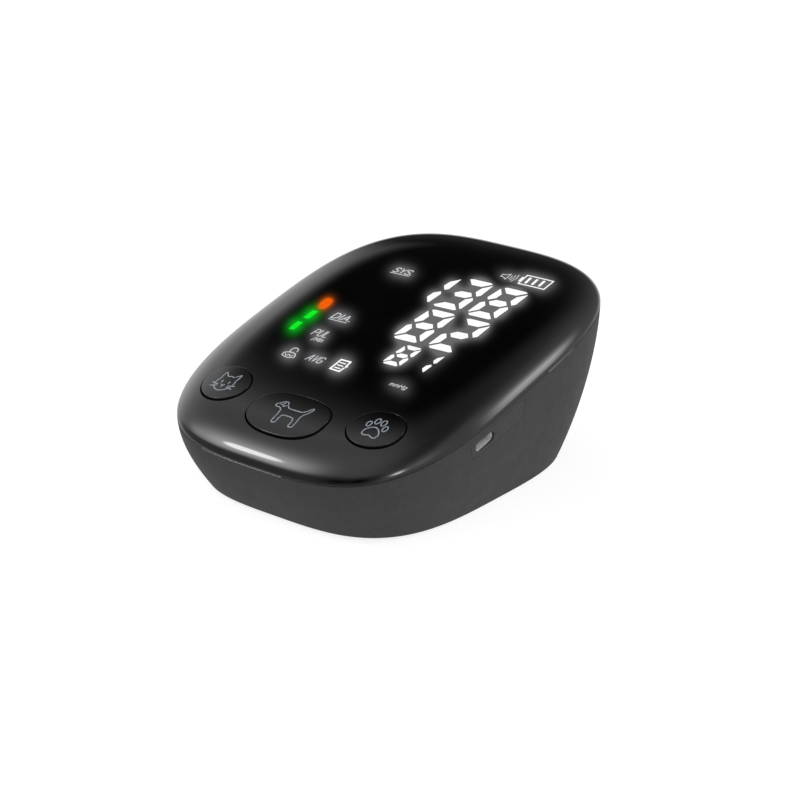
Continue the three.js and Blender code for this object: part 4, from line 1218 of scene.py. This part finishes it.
piece(make_door(), "door", "case_matte", "case", "battery_door")
L = CELL_L / 2
for i in range(4):
    y, s = CELL_Y0 + i * CELL_PITCH, (-1 if i % 2 else 1)
    M = axis_x(s * 1.9, y, CELL_Z, s)
    jacket = [[6.55, -L + 0.1], [6.9, -L], [7.15, -L + 0.15], [CELL_R, -L + 0.5], [CELL_R, L - 1.9], [7.1, L - 1.45], [6.75, L - 1.25], [6.4, L - 1.25],
              [6.4, L - 1.9], [7.0, L - 2.6], [7.0, -L + 1.0], [6.55, -L + 0.5]]
    piece(turned(jacket, 64, M, f"cell_jacket_{i + 1}", 35), "case", "cell_jacket", "jacket", f"battery_cell_{i + 1}")
    can = [[0, -L + 0.05], [6.4, -L + 0.05], [6.95, -L + 1.1], [6.95, L - 2.6], [6.3, L - 1.75], [6.2, L - 1.3], [2.95, L - 1.25], [2.75, L - 1.05], [2.75, L - 0.2], [2.6, L], [0, L]]
    piece(turned(can, 64, M, f"cell_can_{i + 1}", 35), "case", "cell_jacket", "cell_end")
    x0, x1, turns, n, m = -s * (BAY["x"] - 2.0), -s * (L - 1.9 + 0.7), 2.5, 150, 10
    f = np.linspace(0, 1, n + 1)
    a, r = 2 * np.pi * turns * f, 4.6 - 2.0 * f
    C = np.c_[x0 + (x1 - x0) * f, y + r * np.cos(a), CELL_Z + r * np.sin(a)]
    tg = np.gradient(C, axis=0)
    tg /= np.linalg.norm(tg, axis=1)[:, None]
    e1 = np.cross(tg, [1, 0, 0])
    e1 /= np.linalg.norm(e1, axis=1)[:, None]
    e2 = np.cross(tg, e1)
    ph = np.arange(m) * 2 * np.pi / m
    rings = [C[k] + 0.4 * (np.cos(ph)[:, None] * e1[k] + np.sin(ph)[:, None] * e2[k]) for k in range(n + 1)]
    bd = Build()
    bd.loft(rings, start=C[0], end=C[-1])
    piece(to_object(f"coil_{i + 1}", bd.verts(), bd.f, smooth=40), "case", "spring_steel", "spring", f"contact_spring_{i + 1}")

# ------------------------------------------------------------------ feet and screws
for i, (x, y) in enumerate(FEET):
    prof = [[0, -FOOT], [3.9, -FOOT], [4.35, -FOOT + 0.06], [4.7, -FOOT + 0.25], [4.88, -FOOT + 0.55], [4.9, 0.6], [4.8, 0.7], [0, 0.7]]
    piece(turned(prof, 56, T(x, y, 0), f"pad_{i + 1}", 40), "case", "foot_rubber", "foot", f"foot_{i + 1}")
for i, (x, y) in enumerate(BOSSES):
    h = BOSS_JOINT - 6.3
    o = turned([[0, h - 2.2], [2.2, h - 2.2], [2.5, h - 2.0], [2.6, h - 1.7], [2.6, h], [1.3, h], [1.3, h + 13.2], [0, h + 14.2]], 40, T(x, y, 0), f"screw_{i + 1}")
    cut(o, box(x - 0.4, y - 1.9, h - 3, x + 0.4, y + 1.9, h - 1.2), box(x - 1.9, y - 0.4, h - 3, x + 1.9, y + 0.4, h - 1.2))
    shade(o, 35)
    piece(o, "case", "screw_steel", "screw", f"case_screw_{i + 1}")

# ------------------------------------------------------------------ the CAD parts that are shown as they are
SHOWN = {
    "board": ["main_board", "display_board"],
    "led": ["sys_digit_module", "dia_digit_module", "pulse_digit_module", "level_bar_module"],
    "black": ["left_switch", "start_switch", "right_switch", "controller_chip", "speaker", "pump_housing", "pump_cap"],
    "flex": ["flex_cable"],
    "white": ["air_tee", "pressure_sensor"],
    "tube": ["socket_tube", "pump_tube", "valve_tube", "sensor_tube"],
    "motor": ["pump_motor", "valve_body"],
    "shaft": ["motor_shaft", "valve_plunger"],
    "rubber": ["pump_diaphragm"],
    "spring": ["contact_negative", "contact_positive", "bridge_contact_1", "bridge_contact_2", "bridge_contact_3"],
}
for m, names in SHOWN.items():
    for n in names:
        dress(NODES[n], m)

# ------------------------------------------------------------------ floor, light, camera
me = bpy.data.meshes.new("floor")
me.from_pydata([[-3, -3, -0.00002], [3, -3, -0.00002], [3, 3, -0.00002], [-3, 3, -0.00002]], [], [(0, 1, 2, 3)])
floor = bpy.data.objects.new("floor", me)
COLL.objects.link(floor)
fm = surface("floor_white", (0.30, 0.30, 0.30), (0.32, 0.32, 0.32), (0.9, 0.95), scale=8, specular=0.0,
             emit=((0.80, 0.80, 0.80), (0.81, 0.81, 0.81)), strength=1.0)
floor.data.materials.append(fm)

world = bpy.data.worlds.new("studio")
scene.world = world
world.use_nodes = True
g = Graph(world.node_tree)
direction = g.node("ShaderNodeTexCoord").outputs["Generated"]
sep = g.node("ShaderNodeSeparateXYZ")
g.t.links.new(direction, sep.inputs[0])
X, Y, Z = sep.outputs
DEG = 180 / math.pi
el = g.math("MULTIPLY", g.math("ARCSINE", Z), DEG)
az = g.math("MULTIPLY", g.math("ARCTAN2", X, Y), DEG)


def towards(a, e):
    a, e = math.radians(a), math.radians(e)
    return (math.sin(a) * math.cos(e), math.cos(a) * math.cos(e), math.sin(e))


def lobe(a, e, amp, width):
    """Soft patch of light round a direction, width in degrees."""
    v = g.node("ShaderNodeVectorMath", operation="DOT_PRODUCT")
    g.t.links.new(direction, v.inputs[0])
    v.inputs[1].default_value = towards(a, e)
    k = 1 / math.radians(width) ** 2
    return g.math("MULTIPLY", g.math("EXPONENT", g.math("MULTIPLY", g.math("SUBTRACT", v.outputs["Value"], 1.0), k)), amp)


def times(*a):
    r = a[0]
    for b in a[1:]:
        r = g.math("MULTIPLY", r, b)
    return r


def plus(*a):
    r = a[0]
    for b in a[1:]:
        r = g.math("ADD", r, b)
    return r


def inv(v):
    return g.math("SUBTRACT", 1.0, v)


# a dark side behind the object, which the gloss panel mirrors
edge_at = g.math("ADD", g.math("SUBTRACT", -50.0, g.ramp(el, 29.5, 40.5, 0, 15)), g.ramp(el, 41, 46, 0, 1.5))
edge_w = g.ramp(el, 24, 36, 5.5, 9.5)
az_n = g.math("DIVIDE", g.math("SUBTRACT", az, edge_at), edge_w)
dark = times(g.ramp(az_n, -1, 1), g.ramp(az, -45, 62, 1, 0), g.ramp(el, -1, 11), g.ramp(el, 48, 96, 1, 0), 0.985)
# overhead
hd = g.node("ShaderNodeVectorMath", operation="DOT_PRODUCT")
g.t.links.new(direction, hd.inputs[0])
hd.inputs[1].default_value = towards(30, 0)
zenith = times(g.ramp(el, 54, 72), g.ramp(hd.outputs["Value"], -0.30, 0.25), 0.6)
crown = times(g.ramp(el, 68, 82), g.ramp(hd.outputs["Value"], -0.2, 0.15), 0.4)
side = lobe(122, 60, 0.46, 14)
fill = lobe(-80, 43, 0.32, 13)
# a low dark card in front, with a slanting upper edge
az_f = g.math("MULTIPLY", g.math("ARCTAN2", g.math("MULTIPLY", X, -1.0), g.math("MULTIPLY", Y, -1.0)), DEG)
rim_el = g.math("ADD", g.math("MINIMUM", g.math("SUBTRACT", 25.5, g.math("MULTIPLY", g.math("SUBTRACT", az_f, 51.0), 0.5)), 41.0),
                g.ramp(az_f, -30, 10, 6, 0))
above = g.ramp(g.math("DIVIDE", g.math("SUBTRACT", el, rim_el), g.ramp(az_f, 20, 75, 8, 3)), -1, 1)
low = times(inv(above), g.ramp(az_f, -42, -24), g.ramp(az_f, 78, 98, 1, 0))
base = times(inv(dark), inv(zenith), inv(crown), inv(side), inv(fill), inv(times(low, 0.54)), inv(lobe(169, 30, 0.97, 7.5)), inv(lobe(188, 28, 0.86, 8)))
# the front light with its bright middle
disc = g.node("ShaderNodeVectorMath", operation="DOT_PRODUCT")
g.t.links.new(direction, disc.inputs[0])
disc.inputs[1].default_value = towards(-126, 37.3)
middle = g.ramp(disc.outputs["Value"], math.cos(math.radians(4.6)), math.cos(math.radians(2.4)), 0, 10.8)
front = times(plus(lobe(-127, 36.5, 5.9, 9.3), lobe(-110, 25, 1.4, 5), middle), inv(times(low, 0.97)))
light = plus(base, front, lobe(50, 32, 5.6, 5.6), lobe(48, 41, 1.8, 6), lobe(53, 20, 3.6, 5.5), lobe(129, 32.5, 12.0, 3.8), lobe(-41, 18, 0.06, 7.5), lobe(108, 38, 1.0, 9),
             lobe(-165, 62, 0.15, 14), times(inv(dark), lobe(-70, 15, 0.62, 14)))
path = g.node("ShaderNodeLightPath")
seen = g.node("ShaderNodeMix", data_type="FLOAT")
g.t.links.new(path.outputs["Is Camera Ray"], seen.inputs[0])
g.put(seen.inputs[2], light)
seen.inputs[3].default_value = 1.02
bg = g.node("ShaderNodeBackground")
bg.inputs["Color"].default_value = (1, 1, 1, 1)
g.t.links.new(seen.outputs[0], bg.inputs["Strength"])
wo = g.node("ShaderNodeOutputWorld")
g.t.links.new(bg.outputs[0], wo.inputs[0])

cam_data = bpy.data.cameras.new("camera")
cam = bpy.data.objects.new("camera", cam_data)
COLL.objects.link(cam)
cam_data.sensor_width = 36.0
cam_data.lens = 96.01
cam_data.clip_start, cam_data.clip_end = 0.01, 20.0
A, E = math.radians(39.0019), math.radians(21.4988)
back = Vector((math.sin(A) * math.cos(E), -math.cos(A) * math.cos(E), math.sin(E)))
fwd = -back
right = fwd.cross(Vector((0, 0, 1))).normalized()
up = right.cross(fwd)
yaw = math.atan(-9.0442 / 2133.55)
pitch = math.atan(4.6629 / 2133.55 * math.cos(yaw))
R1 = Matrix.Rotation(yaw, 3, up)
f1, r1 = R1 @ fwd, R1 @ right
R2 = Matrix.Rotation(-pitch, 3, r1)
f2, u2 = R2 @ f1, R2 @ up
r2 = f2.cross(u2)
pos = (Vector((0, 0, 24.583 + FOOT)) + back * 740.82) * 0.001
M = Matrix((r2, u2, -f2)).transposed().to_4x4()
M.translation = pos
cam.matrix_world = M
scene.camera = cam
scene.view_settings.view_transform = "Standard"
scene.view_settings.look = "None"
